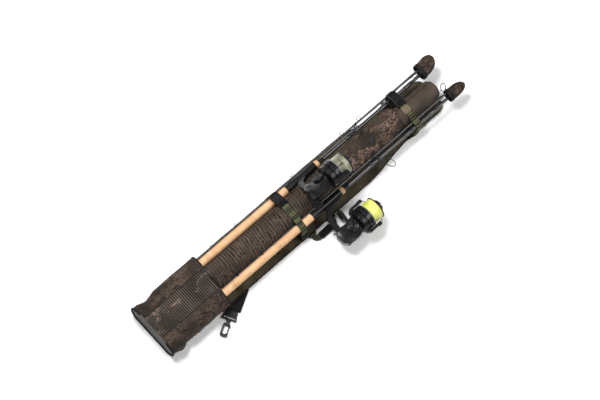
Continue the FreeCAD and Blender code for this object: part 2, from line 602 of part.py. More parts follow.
def carry_handle():
    """Webbing loop with a padded grip, swinging on two bars sewn to the panel's right edge."""
    bar, high, reach = "-handle_bar", "handle_height", "handle_reach"
    first, last = "butt_end + handle_start", "butt_end + handle_end"
    tabs, knuckles = [], []
    for start in (first, f"{last} - 24"):
        tabs.append(rod_along(X_AXIS, "2.2", "32", f"{start} - 4", bar, high))
        for lug in (f"{start} - 4", f"{start} + 25"):
            tabs.append(box("3", "handle_bar - panel_half_width + 2.2", "5", lug,
                            "-(handle_bar + panel_half_width + 2.2)/2", f"{high} - 2.5"))
        knuckles.append(rod_along(X_AXIS, "4.2", "24", start, bar, high))
    node("carry_handle_tabs", fuse(*tabs))
    outline = [(first, bar), (f"{first} + 4", f"-({reach}) + 12"), (f"{first} + 22", f"-({reach})"),
               (f"{last} - 22", f"-({reach})"), (f"{last} - 4", f"-({reach}) + 12"), (last, bar),
               (f"{last} - 24", bar), (f"{last} - 24", f"-({reach}) + 24"),
               (f"{last} - 34", f"-({reach}) + 20"), (f"{first} + 34", f"-({reach}) + 20"),
               (f"{first} + 24", f"-({reach}) + 24"), (f"{first} + 24", bar)]
    loop = place(plate(outline, "2.4", "XY_Plane"), z=high)
    bores = [rod_along(X_AXIS, "2.2 + 0.1", "34", f"{start} - 5", bar, high)
             for start in (first, f"{last} - 24")]
    node("carry_handle_strap", cut(fuse(loop, *knuckles), *bores))
    block = box("handle_end - handle_start - 52", "24", "10",
                f"{first} + 26", f"-({reach}) + 10.5", f"{high} - 5")
    grip = rounded(block, 3.5, along(X_AXIS))
    core = box("handle_end - handle_start", "20.2", "2.4", first, f"-({reach}) + 10", f"{high} - 1.2")
    node("carry_handle_grip", cut(grip, core))


def shoulder_strap():
    """Padded end of the shoulder strap, from the panel's right edge to the eye its hook swivels in."""
    frame = FreeCAD.Placement(V(dim("butt_end") + dim("hook_station"), dim("hook_side"), 0),
                              spin(Z_AXIS, dim("hook_turn")))
    end, web_width = "pad_length", "shoulder_web"
    webbing = box(f"{end} + 18", web_width, "2.4", "4", "0", "3")
    tunnel = box(f"{end} + 30", f"{web_width} + 0.4", "2.5", "-10", "0", "2.95")
    pad = cut(rounded(box(end, "pad_width", "9.5", "0", "0", "0.2"), 3, along(X_AXIS)), tunnel)
    slider = cut(box("16", "slider_width", "6", f"{end} + 4", "0", "1.2"),
                 box("18", f"{web_width} + 0.4", "2.6", f"{end} + 3", "0", "2.9"))
    eye_block = cut(box("14", "eye_width", "8", f"{end} + 22", "0", "0.4"),
                    box("5", "eye_width - 8", "12", f"{end} + 25", "0", "-1"))
    collar = rod_along(X_AXIS, "7", "10", f"{end} + 35", "0", "7.2")
    bore = rod_along(X_AXIS, "3 + fit", "16", f"{end} + 34", "0", "7.2")
    inside_edge = 0.2 - dim("panel_half_width") - 0.5
    panel = free_shape(Part.makeBox(400, 200, 40, V(dim("butt_end") + 100, inside_edge, -5)))
    panel.Placement = frame.inverse()
    for label, thing in (("shoulder_webbing", cut(webbing, panel)), ("shoulder_pad", cut(pad, panel)),
                         ("strap_slider", slider), ("hook_eye", cut(fuse(eye_block, collar), bore))):
        node(label, thing).Placement = frame
    hook_frame = frame.multiply(FreeCAD.Placement(V(dim("pad_length") + 45.5, 0, 7.2), FreeCAD.Rotation()))
    ring = cut(rounded(box("46", "26", "8", "4", "0", "-4"), 6, along(Z_AXIS)),
               rounded(box("30", "14", "12", "11", "0", "-6"), 5, along(Z_AXIS)),
               box("22", "8", "12", "15", "9.5", "-6"), box("28", "8.5", "5.6", "9.6", "9.5", "-2.8"))
    neck = fuse(rod_along(X_AXIS, "5.5", "6", "0.4", "0", "0"), rod_along(X_AXIS, "3", "10", "-9", "0", "0"))
    pin = rod_along(Z_AXIS, "1.5 + fit", "10", "13", "9.4", "-5")
    node("snap_hook", cut(fuse(ring, neck), pin)).Placement = hook_frame
    gate = fuse(box("22.4", "3.6", "5", "14.2", "9.4", "-2.5"),
                rod_along(Z_AXIS, "2.3", "5", "13", "9.4", "-2.5"),
                rod_along(Z_AXIS, "1.5", "8", "13", "9.4", "-4"))
    node("snap_hook_gate", gate).Placement = hook_frame


case_panel()
butt_end_pocket()
sleeve_and_bag()
all_straps()
for side, label in ((1, "left"), (-1, "right")):
    rod(side, label)
    reel(side, label)
tip_cap("left", "left_cap_start", 70.5, 56)
tip_cap("right", "right_cap_start", -59.5, 42)
carry_handle()
shoulder_strap()

doc.recompute()
broken = [thing.Label for thing in doc.Objects if {"Invalid", "Error"} & set(thing.State)]
broken += [thing.Label for thing in nodes if thing.Shape.isNull() or not thing.Shape.isValid()]
if broken:
    raise SystemExit(f"these shapes failed: {broken}")
os.makedirs("parts", exist_ok=True)
for thing in nodes:
    thing.Shape.exportStep(f"parts/{thing.Label}.step")
print(f"{len(nodes)} sub-parts written")
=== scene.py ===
"""Looks of the loaded rod case: fabric, webbing, cork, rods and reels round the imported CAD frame.

Lengths are in metres in the row frame: +X from the butt end to the tip end, +Y to the left rod, +Z up.
"""

import json
import math

import bpy
import numpy as np
from mathutils import Matrix, Vector, noise


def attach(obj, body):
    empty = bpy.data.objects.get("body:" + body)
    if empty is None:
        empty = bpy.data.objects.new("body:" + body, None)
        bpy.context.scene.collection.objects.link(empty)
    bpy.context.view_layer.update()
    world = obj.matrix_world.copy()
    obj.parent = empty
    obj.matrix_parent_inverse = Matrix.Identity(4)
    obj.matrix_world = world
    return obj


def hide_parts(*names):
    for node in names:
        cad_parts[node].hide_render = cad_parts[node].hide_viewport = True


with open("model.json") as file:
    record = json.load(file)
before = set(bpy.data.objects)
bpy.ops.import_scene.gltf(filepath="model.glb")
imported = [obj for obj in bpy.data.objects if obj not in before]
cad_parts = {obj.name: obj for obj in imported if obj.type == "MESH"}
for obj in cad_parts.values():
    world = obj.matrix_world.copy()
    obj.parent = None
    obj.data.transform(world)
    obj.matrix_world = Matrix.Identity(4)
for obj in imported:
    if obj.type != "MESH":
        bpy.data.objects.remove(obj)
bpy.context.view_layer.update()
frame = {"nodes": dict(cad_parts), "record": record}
record = frame["record"]
joints = {j["name"]: j for j in record["behaviour"]["joints"]}
TAU = 2 * math.pi


# ---- camera, light and floor ----

CAMERA_DISTANCE = 5.5
CAMERA_TILT_BACK = math.radians(16.5)
CAMERA_TILT_SIDE = math.radians(8.5)
CAMERA_HEADING = math.radians(40.9)
CAMERA_TARGET = Vector((0.012, 0.0, 0.06))
CAMERA_SHIFT = (-0.0158, -0.0076)
CAMERA_LENS = 97.06


def camera_axes():
    """Unit vectors towards the camera, to its right and up, with the case's length at the heading angle."""
    back = Vector((-math.sin(CAMERA_TILT_BACK), -math.sin(CAMERA_TILT_SIDE), 0))
    back.z = math.sqrt(1 - back.length_squared)
    flat_x = (Vector((1, 0, 0)) - back * back.x).normalized()
    right = Matrix.Rotation(-CAMERA_HEADING, 3, back) @ flat_x
    return back, right, back.cross(right)


def studio():
    back, right, up = camera_axes()
    camera = bpy.data.objects.new("camera", bpy.data.cameras.new("camera"))
    camera.data.lens, camera.data.sensor_width = CAMERA_LENS, 36
    camera.data.shift_x, camera.data.shift_y = CAMERA_SHIFT
    camera.data.clip_end = 50
    place = CAMERA_TARGET + back * CAMERA_DISTANCE
    camera.matrix_world = Matrix.Translation(place) @ Matrix((right, up, back)).transposed().to_4x4()
    bpy.context.scene.collection.objects.link(camera)
    bpy.context.scene.camera = camera

    world = bpy.data.worlds.new("studio")
    world.use_nodes = True
    world.node_tree.nodes["Background"].inputs["Color"].default_value = (1, 1, 1, 1)
    world.node_tree.nodes["Background"].inputs["Strength"].default_value = 0.27
    bpy.context.scene.world = world
    bpy.context.scene.view_settings.view_transform = "Standard"
    lamps = (("key", (-0.45, 1.25, 3.2), 1.1, 150), ("fill", (1.3, -1.8, 3.3), 2.0, 80))
    for name, place, size, power in lamps:
        lamp = bpy.data.objects.new(name, bpy.data.lights.new(name, "AREA"))
        lamp.data.size, lamp.data.energy = size, power
        lamp.location = place
        lamp.rotation_euler = (-Vector(place)).to_track_quat("-Z", "Y").to_euler()
        bpy.context.scene.collection.objects.link(lamp)

    floor = mesh_object("floor", [(-6, -6, 0), (6, -6, 0), (6, 6, 0), (-6, 6, 0)], [(0, 1, 2, 3)])
    floor.location.z = -0.0004
    floor.data.materials.append(material("floor_white", floor_look))


# ---- mesh helpers ----

def shaded_smooth(thing):
    thing.data.polygons.foreach_set("use_smooth", [True] * len(thing.data.polygons))
    return thing


def mesh_object(name, points, faces):
    mesh = bpy.data.meshes.new(name)
    mesh.from_pydata([tuple(p) for p in points], [], [tuple(f) for f in faces])
    mesh.update()
    thing = bpy.data.objects.new(name, mesh)
    bpy.context.scene.collection.objects.link(thing)
    return shaded_smooth(thing)


def grid(name, rows, closed=False, caps=False):
    """A skin through rows of points. Closed joins each row's ends; caps fills the first and last rows."""
    rows = np.asarray(rows, float)
    count, width = rows.shape[:2]
    faces = []
    for i in range(count - 1):
        for j in range(width if closed else width - 1):
            k = (j + 1) % width
            faces.append((i * width + j, i * width + k, (i + 1) * width + k, (i + 1) * width + j))
    if caps:
        faces.append(tuple(reversed(range(width))))
        faces.append(tuple(range((count - 1) * width, count * width)))
    return mesh_object(name, rows.reshape(-1, 3), faces)


def modifier(thing, kind, **values):
    found = thing.modifiers.new(kind.lower(), kind)
    for key, value in values.items():
        setattr(found, key, value)
    return found


def baked(thing):
    """The object with its modifiers applied."""
    graph = bpy.context.evaluated_depsgraph_get()
    mesh = bpy.data.meshes.new_from_object(thing.evaluated_get(graph))
    thing.modifiers.clear()
    thing.data = mesh
    return thing


def thick(thing, depth, offset=-1):
    """A skin given the thickness of its fabric."""
    modifier(thing, "SOLIDIFY", thickness=depth, offset=offset, use_even_offset=True)
    return baked(thing)


def rounded_box(name, size, centre, bevel, frame_matrix=None):
    half = np.array(size) / 2
    signs = [(x, y, z) for x in (-1, 1) for y in (-1, 1) for z in (-1, 1)]
    points = [Vector(half * s) + Vector(centre) for s in signs]
    if frame_matrix is not None:
        points = [frame_matrix @ p for p in points]
    faces = [(0, 1, 3, 2), (4, 6, 7, 5), (0, 4, 5, 1), (2, 3, 7, 6), (0, 2, 6, 4), (1, 5, 7, 3)]
    thing = mesh_object(name, points, faces)
    modifier(thing, "BEVEL", width=bevel, segments=3)
    return baked(thing)


def frames_along(path, closed=False):
    """Tangents and two cross directions at each point of a path, carried along without twist."""
    path = [Vector(p) for p in path]
    count = len(path)
    tangents = []
    for i in range(count):
        a = path[(i - 1) % count if closed else max(i - 1, 0)]
        b = path[(i + 1) % count if closed else min(i + 1, count - 1)]
        tangents.append((b - a).normalized())
    side = tangents[0].orthogonal().normalized()
    sides = []
    for tangent in tangents:
        side = (side - tangent * side.dot(tangent)).normalized()
        sides.append(side.copy())
    return path, tangents, sides


def tube(name, path, radius, closed=False, ring=10):
    """A round bar along a path."""
    path, tangents, sides = frames_along(path, closed)
    rows = []
    for point, tangent, side in zip(path, tangents, sides):
        other = tangent.cross(side)
        rows.append([point + (side * math.cos(a) + other * math.sin(a)) * radius
                     for a in np.linspace(0, TAU, ring, endpoint=False)])
    if closed:
        rows.append(rows[0])
    return grid(name, rows, closed=True, caps=not closed)


def lathe(name, profile, place, steps=64):
    """A turned piece: profile is pairs of place along X and radius, and place maps it to the row frame."""
    rows = []
    for x, r in profile:
        rows.append([place @ Vector((x, r * math.cos(a), r * math.sin(a)))
                     for a in np.linspace(0, TAU, steps, endpoint=False)])
    return grid(name, rows, closed=True, caps=True)


def join(name, things):
    """One object from several."""
    points, faces = [], []
    for thing in things:
        start = len(points)
        points.extend(thing.matrix_world @ v.co for v in thing.data.vertices)
        faces.extend([tuple(start + i for i in p.vertices) for p in thing.data.polygons])
        bpy.data.objects.remove(thing)
    return mesh_object(name, points, faces)


def wobble(point, scale, seed=0.0):
    """Smooth seeded noise from -1 to 1."""
    return noise.noise(Vector(point) * scale + Vector((seed, seed * 1.7, seed * 0.3)))


# ---- materials ----

class Nodes:
    """A short way to write a node material."""

    def __init__(self, name):
        self.material = bpy.data.materials.new(name)
        self.material.use_nodes = True
        self.tree = self.material.node_tree
        self.shader = self.tree.nodes["Principled BSDF"]
        self.place = self.tree.nodes.new("ShaderNodeTexCoord").outputs["Object"]

    def link(self, source, socket):
        self.tree.links.new(source, socket)

    def set(self, **values):
        for key, value in values.items():
            self.shader.inputs[key.replace("_", " ")].default_value = value

    def mapping(self, scale=(1, 1, 1), turn=(0, 0, 0)):
        node = self.tree.nodes.new("ShaderNodeMapping")
        node.inputs["Scale"].default_value = scale
        node.inputs["Rotation"].default_value = turn
        self.link(self.place, node.inputs["Vector"])
        return node.outputs["Vector"]

    def noise(self, scale, detail=3.0, rough=0.5, distortion=0.0, vector=None):
        node = self.tree.nodes.new("ShaderNodeTexNoise")
        for key, value in (("Scale", scale), ("Detail", detail), ("Roughness", rough),
                           ("Distortion", distortion)):
            node.inputs[key].default_value = value
        self.link(vector or self.place, node.inputs["Vector"])
        return node.outputs["Fac"]

    def voronoi(self, scale):
        node = self.tree.nodes.new("ShaderNodeTexVoronoi")
        node.inputs["Scale"].default_value = scale
        self.link(self.place, node.inputs["Vector"])
        return node.outputs["Distance"]

    def bands(self, period, direction="X", distortion=0.0, detail_scale=1.0, vector=None):
        """Bands a period apart, in metres."""
        node = self.tree.nodes.new("ShaderNodeTexWave")
        node.bands_direction = direction
        values = (("Scale", TAU / 20 / period), ("Distortion", distortion), ("Detail Scale", detail_scale))
        for key, value in values:
            node.inputs[key].default_value = value
        self.link(vector or self.place, node.inputs["Vector"])
        return node.outputs["Fac"]

    def ramp(self, source, stops):
        node = self.tree.nodes.new("ShaderNodeValToRGB")
        elements = node.color_ramp.elements
        while len(elements) < len(stops):
            elements.new(0.5)
        for element, (place, colour) in zip(elements, stops):
            element.position = place
            element.color = (*colour, 1) if isinstance(colour, tuple) else (colour, colour, colour, 1)
        self.link(source, node.inputs["Fac"])
        return node.outputs["Color"]

    def mix(self, share, a, b, kind="MIX"):
        node = self.tree.nodes.new("ShaderNodeMix")
        node.data_type, node.blend_type = "RGBA", kind
        for socket, value in (("Factor", share), ("A", a), ("B", b)):
            inputs = [s for s in node.inputs if s.name == socket and s.type in ("VALUE", "RGBA")]
            target = inputs[0] if socket == "Factor" else inputs[-1]
            if isinstance(value, bpy.types.NodeSocket):
                self.link(value, target)
            elif isinstance(value, tuple):
                target.default_value = (*value, 1)
            else:
                target.default_value = value
        return [s for s in node.outputs if s.type == "RGBA"][0]

    def math(self, operation, a, b=0.5):
        node = self.tree.nodes.new("ShaderNodeMath")
        node.operation = operation
        for socket, value in zip(node.inputs, (a, b)):
            if isinstance(value, bpy.types.NodeSocket):
                self.link(value, socket)
            else:
                socket.default_value = value
        return node.outputs["Value"]

    def along_case(self):
        """Share of the way along the case, 0 at the butt end and 1 at the tip end."""
        node = self.tree.nodes.new("ShaderNodeSeparateXYZ")
        self.link(self.place, node.inputs["Vector"])
        return self.math("DIVIDE", self.math("ADD", node.outputs["X"], -BUTT), -2 * BUTT)

    def bump(self, height, strength, distance, under=None):
        node = self.tree.nodes.new("ShaderNodeBump")
        node.inputs["Strength"].default_value = strength
        node.inputs["Distance"].default_value = distance
        self.link(height, node.inputs["Height"])
        if under is not None:
            self.link(under, node.inputs["Normal"])
        return node.outputs["Normal"]

    def finish(self, colour=None, rough=None, normal=None):
        for source, name in ((colour, "Base Color"), (rough, "Roughness"), (normal, "Normal")):
            if source is not None:
                self.link(source, self.shader.inputs[name])
        return self.material


made = {}


def material(name, look, *args):
    if name not in made:
        made[name] = look(Nodes(name), *args)
    return made[name]


def floor_look(n):
    n.set(Roughness=0.9)
    shade = n.ramp(n.noise(3.0, 2.0), [(0.0, (0.90, 0.90, 0.90)), (1.0, (0.93, 0.93, 0.93))])
    return n.finish(shade)


def weave(n, pitch, strength=0.5, under=None):
    """Plain weave bump: two crossed sets of threads a pitch apart, in metres."""
    threads = n.math("MAXIMUM", n.bands(pitch, "X"), n.bands(pitch, "Y"))
    crossing = n.math("MULTIPLY", threads, n.bands(pitch, "Z"))
    return n.bump(n.math("ADD", threads, crossing), strength, pitch * 0.35, under)


def camo_look(n, light=1.0, leafy=(0.50, 0.66)):
    """Woodland print: plain dark brown, with clusters of leaves in pinkish tan between dark gaps.

    The leaves are faint towards the butt end. They are strong beyond the second share of the length in leafy.
    """
    def shade(colour):
        return tuple(min(1.0, c * light) for c in colour)
    strength = n.ramp(n.along_case(), [(leafy[0], 0.28), (leafy[1], 1.0)])
    ground = n.ramp(n.noise(9.0, 6.0, 0.62, 0.5), [(0.32, shade((0.0110, 0.0080, 0.0058))),
                                                  (0.50, shade((0.0270, 0.0198, 0.0146))),
                                                  (0.70, shade((0.0530, 0.0392, 0.0298)))])
    stretched = n.mapping((1.0, 1.5, 1.5), (0.3, 0.1, 0.6))
    cluster = n.ramp(n.noise(9.5, 3.0, 0.6, 0.6, stretched), [(0.47, 0.0), (0.53, 1.0)])
    blade = n.ramp(n.noise(46.0, 5.0, 0.66, 2.6, n.mapping((0.8, 1.5, 1.5), (0.4, 0.2, 0.9))),
                   [(0.47, 0.0), (0.52, 1.0)])
    vein = n.ramp(n.noise(140.0, 3.0, 0.65, 1.0, stretched), [(0.36, 0.25), (0.58, 1.0)])
    leaf = n.math("MULTIPLY", n.math("MULTIPLY", cluster, blade), n.math("MULTIPLY", vein, strength))
    gap = n.math("MULTIPLY", cluster, n.ramp(n.noise(30.0, 4.0, 0.62, 1.4), [(0.50, 0.0), (0.56, 1.0)]))
    colour = n.mix(n.math("MULTIPLY", gap, 0.85), ground, shade((0.0040, 0.0034, 0.0028)))
    colour = n.mix(leaf, colour, shade((0.215, 0.137, 0.104)))
    fleck = n.ramp(n.noise(36.0, 2.0, 0.5, 1.0, n.mapping((0.7, 1.0, 1.4), (2.0, 1.0, 0.2))),
                   [(0.68, 0.0), (0.70, 0.9)])
    colour = n.mix(n.math("MULTIPLY", fleck, strength), colour, shade((0.022, 0.032, 0.044)))
    n.set(Roughness=0.82, Specular_IOR_Level=0.15)
    cloth = weave(n, 0.0011, 0.35)
    crease = n.bump(n.noise(60.0, 3.0, 0.6), 0.3, 0.0018, cloth)
    return n.finish(colour, None, crease)


def cloth_look(n, low, high, pitch=0.0012, sheen=0.0, rough=0.85):
    """Plain dyed cloth with its weave, faded patches and creases."""
    colour = n.ramp(n.noise(14.0, 6.0, 0.6), [(0.32, low), (0.68, high)])
    fine = n.ramp(n.noise(900.0, 2.0, 0.5), [(0.3, 0.72), (0.7, 1.0)])
    n.set(Roughness=rough, Sheen_Weight=sheen, Specular_IOR_Level=0.2)
    creased = n.bump(n.noise(45.0, 4.0, 0.6), 0.3, 0.0015, weave(n, pitch, 0.5))
    return n.finish(n.mix(1.0, colour, fine, "MULTIPLY"), None, creased)


def mesh_look(n, low, high, pitch=0.0060, leaves=0.0):
    """Open spacer mesh: rows of small holes on a dark ground, with a little of the woodland print."""
    cross = n.ramp(n.bands(pitch * 0.8, "Y", 0.5), [(0.0, 0.35), (0.7, 1.0)])
    rows = n.math("MULTIPLY", n.bands(pitch, "X", 0.5), cross)
    blotch = n.ramp(n.noise(13.0, 5.0, 0.6), [(0.35, 0.50), (0.65, 1.25)])
    tone = n.mix(1.0, n.ramp(rows, [(0.05, low), (0.60, high)]), blotch, "MULTIPLY")
    if leaves:
        print_at = n.noise(10.0, 5.0, 0.66, 1.2, n.mapping((1.0, 1.3, 1.0), (0.4, 1.0, 0.3)))
        patch = n.math("MULTIPLY", n.ramp(print_at, [(0.57, 0.0), (0.62, 1.0)]),
                       n.ramp(n.noise(80.0, 4.0, 0.6), [(0.40, 0.1), (0.55, 1.0)]))
        tone = n.mix(n.math("MULTIPLY", patch, leaves), tone, (0.190, 0.128, 0.098))
    n.set(Roughness=0.85, Specular_IOR_Level=0.15)
    return n.finish(tone, None, n.bump(rows, 0.6, 0.0010))


def webbing_look(n, low, high, pitch=0.009):
    """Ribbed webbing: a ladder of raised bars a pitch apart, with fine cords across them."""
    along_y, along_z = n.bands(pitch, "Y"), n.bands(pitch, "Z")
    bars = n.math("MULTIPLY", n.math("ADD", along_y, along_z), 0.5)
    cords = n.bands(0.0022, "X")
    ladder = n.math("ADD", n.math("MULTIPLY", bars, 0.75), n.math("MULTIPLY", cords, 0.25))
    tone = n.ramp(ladder, [(0.30, low), (0.66, high)])
    worn = n.ramp(n.noise(40.0, 4.0, 0.6), [(0.3, 0.75), (0.7, 1.1)])
    n.set(Roughness=0.82, Specular_IOR_Level=0.2)
    return n.finish(n.mix(1.0, tone, worn, "MULTIPLY"), None, n.bump(ladder, 0.9, 0.0006))


def cork_look(n):
    """Cork with fine pores and darker flecks along the growth lines."""
    base = n.ramp(n.noise(38.0, 6.0, 0.65), [(0.30, (0.50, 0.27, 0.130)), (0.55, (0.60, 0.36, 0.190)),
                                             (0.75, (0.67, 0.43, 0.245))])
    pores = n.ramp(n.voronoi(420.0), [(0.08, 0.60), (0.18, 1.0)])
    streak = n.ramp(n.noise(230.0, 3.0, 0.6, 0.0, n.mapping((0.35, 1, 1))), [(0.30, 0.68), (0.42, 1.0)])
    rings = n.ramp(n.bands(0.20, "X", 0.4), [(0.0, 0.86), (0.05, 1.0)])
    marks = n.mix(1.0, streak, rings, "MULTIPLY")
    colour = n.mix(1.0, n.mix(1.0, base, pores, "MULTIPLY"), marks, "MULTIPLY")
    n.set(Roughness=0.72)
    return n.finish(colour, None, n.bump(pores, 0.35, 0.0004))


def plastic_look(n, tone, rough=0.42, grain=900.0, coat=0.0):
    """Moulded or painted dark parts, with a fine grain and rubbed patches."""
    rubbed = tuple(min(1, c * 1.5 + 0.002) for c in tone)
    worn = n.ramp(n.noise(26.0, 5.0, 0.6), [(0.35, tone), (0.75, rubbed)])
    gloss = n.ramp(n.noise(60.0, 4.0, 0.6), [(0.3, rough - 0.07), (0.7, rough + 0.10)])
    n.set(Coat_Weight=coat * 0.4, Coat_Roughness=0.10, Specular_IOR_Level=0.16)
    return n.finish(worn, gloss, n.bump(n.noise(grain, 2.0), 0.12, 0.0003))


def blank_look(n):
    """Lacquered carbon blank: black with faint hoop lines under a clear coat."""
    hoops = n.ramp(n.bands(0.0057, "X", 0.8), [(0.2, (0.006, 0.006, 0.007)), (0.8, (0.013, 0.013, 0.015))])
    n.set(Coat_Weight=0.8, Coat_Roughness=0.04, Specular_IOR_Level=0.3)
    return n.finish(hoops, n.ramp(n.noise(30.0), [(0.3, 0.22), (0.7, 0.34)]))


def line_look(n, low, high, rough=0.35):
    """Wound fishing line: close turns round the spool with lighter and darker bands."""
    turns = n.bands(0.0016, "X", 1.5, 4.0)
    band = n.noise(26.0, 2.0, 0.5, 0.0, n.mapping((2.2, 1.0, 1.0), (0.2, 0, 0)))
    tone = n.ramp(n.math("ADD", n.math("MULTIPLY", turns, 0.35), n.math("MULTIPLY", band, 0.75)),
                  [(0.40, low), (0.78, high)])
    n.set(Coat_Weight=0.4, Coat_Roughness=0.2)
    return n.finish(tone, n.ramp(band, [(0.3, rough), (0.7, rough + 0.15)]), n.bump(turns, 0.7, 0.0006))


CAMO = ("camo", camo_look)
LOOKS = {
    "camo_fabric": CAMO,
    "panel_fabric": ("panel", cloth_look, (0.026, 0.022, 0.012), (0.120, 0.098, 0.062), 0.0016),
    "stiffening_board": ("board", plastic_look, (0.03, 0.03, 0.03)),
    "base_rubber": ("base_rubber", cloth_look, (0.060, 0.058, 0.048), (0.112, 0.108, 0.093), 0.0022, 0, 0.6),
    "black_binding": ("binding", webbing_look, (0.002, 0.002, 0.002), (0.012, 0.012, 0.012), 0.004),
    "pocket_mesh": ("pocket_mesh", mesh_look, (0.0035, 0.0028, 0.0022), (0.072, 0.057, 0.046), 0.0078, 0.8),
    "bag_fabric": ("bag", cloth_look, (0.034, 0.025, 0.018), (0.090, 0.068, 0.052), 0.0014),
    "olive_webbing": ("olive_webbing", webbing_look, (0.006, 0.007, 0.003), (0.090, 0.092, 0.046)),
    "tan_keeper": ("keeper", cloth_look, (0.120, 0.088, 0.055), (0.210, 0.160, 0.105), 0.0014),
    "handle_padding": ("padding", mesh_look, (0.001, 0.001, 0.001), (0.014, 0.014, 0.014), 0.0026),
    "buckle_plastic": ("buckle", plastic_look, (0.007, 0.007, 0.008), 0.36),
    "cork": ("cork", cork_look),
    "seat_black": ("seat", plastic_look, (0.006, 0.006, 0.007), 0.30, 700.0, 0.3),
    "carbon_blank": ("blank", blank_look),
    "guide_steel": ("guide", plastic_look, (0.010, 0.010, 0.011), 0.25, 900.0, 0.4),
    "reel_shell": ("reel_shell", plastic_look, (0.004, 0.004, 0.005), 0.30, 1300.0, 0.3),
    "bail_wire": ("bail", plastic_look, (0.012, 0.012, 0.013), 0.24, 900.0, 0.3),
    "spool_metal": ("spool", plastic_look, (0.007, 0.007, 0.008), 0.22, 600.0, 0.5),
    "crank_metal": ("crank", plastic_look, (0.009, 0.009, 0.010), 0.30, 900.0, 0.3),
    "knob_rubber": ("knob", plastic_look, (0.004, 0.004, 0.004), 0.60, 500.0),
    "clear_line": ("clear_line", line_look, (0.020, 0.018, 0.005), (0.46, 0.46, 0.32), 0.10),
    "yellow_line": ("yellow_line", line_look, (0.50, 0.52, 0.035), (0.90, 0.92, 0.30)),
}


def dress(thing, slot, look=None):
    """Gives a piece its material."""
    thing.data.materials.clear()
    thing.data.materials.append(material(*(look or LOOKS[slot])))
    return thing


def piece(thing, slot, body, *stands_for, look=None):
    """A finished piece: its material, the body it rides on, and the CAD nodes it stands for."""
    dress(thing, slot, look)
    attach(thing, body)
    if stands_for:
        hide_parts(*stands_for)
    return thing


def keep_cad_nodes():
    """The CAD nodes that stay get a better material in place of their flat one."""
    for entry in record["subparts"]:
        thing = frame["nodes"][entry["node"]]
        if thing.hide_render:
            continue
        look = material(*LOOKS[entry["material_slot"]])
        thing.data.materials.clear()
        thing.data.materials.append(look)


# ---- dimensions shared with the CAD model ----

SIDES = {"left": 1, "right": -1}
BUTT = -0.698
HALF, TIP_HALF = 0.095, 0.070
PANEL = 0.012
TAPER = (0.930, 1.105)
PANEL_END = 1.316
POCKET = dict(start=0.0040, end=0.258, half=0.1015, high=0.102, corner=0.046)
MESH_HALF = 0.044
SLEEVE = dict(start=0.260, end=1.123, radius=0.050, height=0.0625)
BAG = dict(start=0.266, end=1.317, radius=0.038)
WEB, WEB_THICK, STRAP_GAP = 0.025, 0.0018, 0.0012
LOWER, UPPER = 0.607, 1.164
SOCKET, PLUG = 0.034, 0.022
ROD_Y, ROD_Z = 0.063, 0.078
CORK_RADIUS, BLANK_RADIUS, BLANK_END_RADIUS = 0.01375, 0.0075, 0.0056
FORE_END, BLANK_END = 0.806, 1.364
THREAD_START, THREAD_END, THREAD_PITCH = 0.7400, 0.7775, 0.0016
TIP_START, TIP_END = 0.060, 1.372
TIP_LINES = {"left": ((0.081, 0.079), (0.0785, 0.088)), "right": ((-0.048, 0.082), (-0.048, 0.091))}
WING = dict(length=0.062, thickness=0.0036, height=0.062)
CAPS = {"left": (1.300, 0.0705, 0.056, 0.011), "right": (1.316, -0.0595, 0.042, -0.002)}
CAP_LENGTH, CAP_HIGH, CAP_MIDDLE = 0.080, 0.042, ROD_Z + 0.005
REELS = {"left": ((0.047, -0.0102, 0.1731), 217.6, 11), "right": ((0.047, -0.183, 0.078), -90, 0)}
HANDLE = dict(start=0.626, end=0.738, reach=0.132, bar=0.1015, high=0.007)
HOOK = dict(station=0.344, side=-0.067, turn=208, pad=0.100, pad_width=0.056, web=0.040)


def at(station):
    """Place along X of a station, measured from the butt end."""
    return BUTT + station


def smooth(x, low, high):
    """0 below low, 1 above high, with an easy slope between them."""
    t = min(1.0, max(0.0, (x - low) / (high - low)))
    return t * t * (3 - 2 * t)


def bump_at(x, middle, width):
    return math.exp(-((x - middle) / width) ** 2)


def oval(half, high, corner, count, low=0.0, high_share=1.0):
    """Points (y, z) evenly round a rounded rectangle, anticlockwise from the middle of its base."""
    dense = []
    centres = ((half - corner, corner), (half - corner, high - corner),
               (corner - half, high - corner), (corner - half, corner))
    for i, (cy, cz) in enumerate(centres):
        for a in np.linspace((i - 1) * math.pi / 2, i * math.pi / 2, 24):
            dense.append((cy + corner * math.cos(a), cz + corner * math.sin(a)))
    dense = np.array([(0.0, 0.0), *dense, (0.0, 0.0)])
    lengths = np.r_[0, np.cumsum(np.hypot(*np.diff(dense, axis=0).T))]
    wanted = np.linspace(low, high_share, count, endpoint=high_share < 1.0) * lengths[-1]
    return np.c_[np.interp(wanted, lengths, dense[:, 0]), np.interp(wanted, lengths, dense[:, 1])]


# ---- case: panel, base, pocket, sleeve, bag ----

def panel_half(s):
    return HALF + (TIP_HALF - HALF) * smooth(s, TAPER[0] - 0.02, TAPER[1] + 0.02)


def panel_ring(s):
    """One cross section of the padded panel: flat below, softly crowned above."""
    half, share = panel_half(s), 1.0
    if s > PANEL_END - 0.025:
        share = math.sqrt(max(0.0, 1 - ((s - PANEL_END + 0.025) / 0.0252) ** 2))
        half -= 0.025 * (1 - share)
    ring = []
    for a in np.linspace(0, TAU, 56, endpoint=False):
        c, d = math.cos(a), math.sin(a)
        y = half * math.copysign(abs(c) ** 0.22, c)
        z = PANEL / 2 * (1 + math.copysign(abs(d) ** 0.55, d))
        if d > 0:
            z += 0.0009 * wobble((s * 2.2, y * 3, 0), 14.0, 3.0) * (1 - abs(y / half) ** 6)
        ring.append((at(s), y + 0.0010 * wobble((s, 0, 0), 26.0, 5.0 if c > 0 else 9.0), max(z, 0.0)))
    return ring


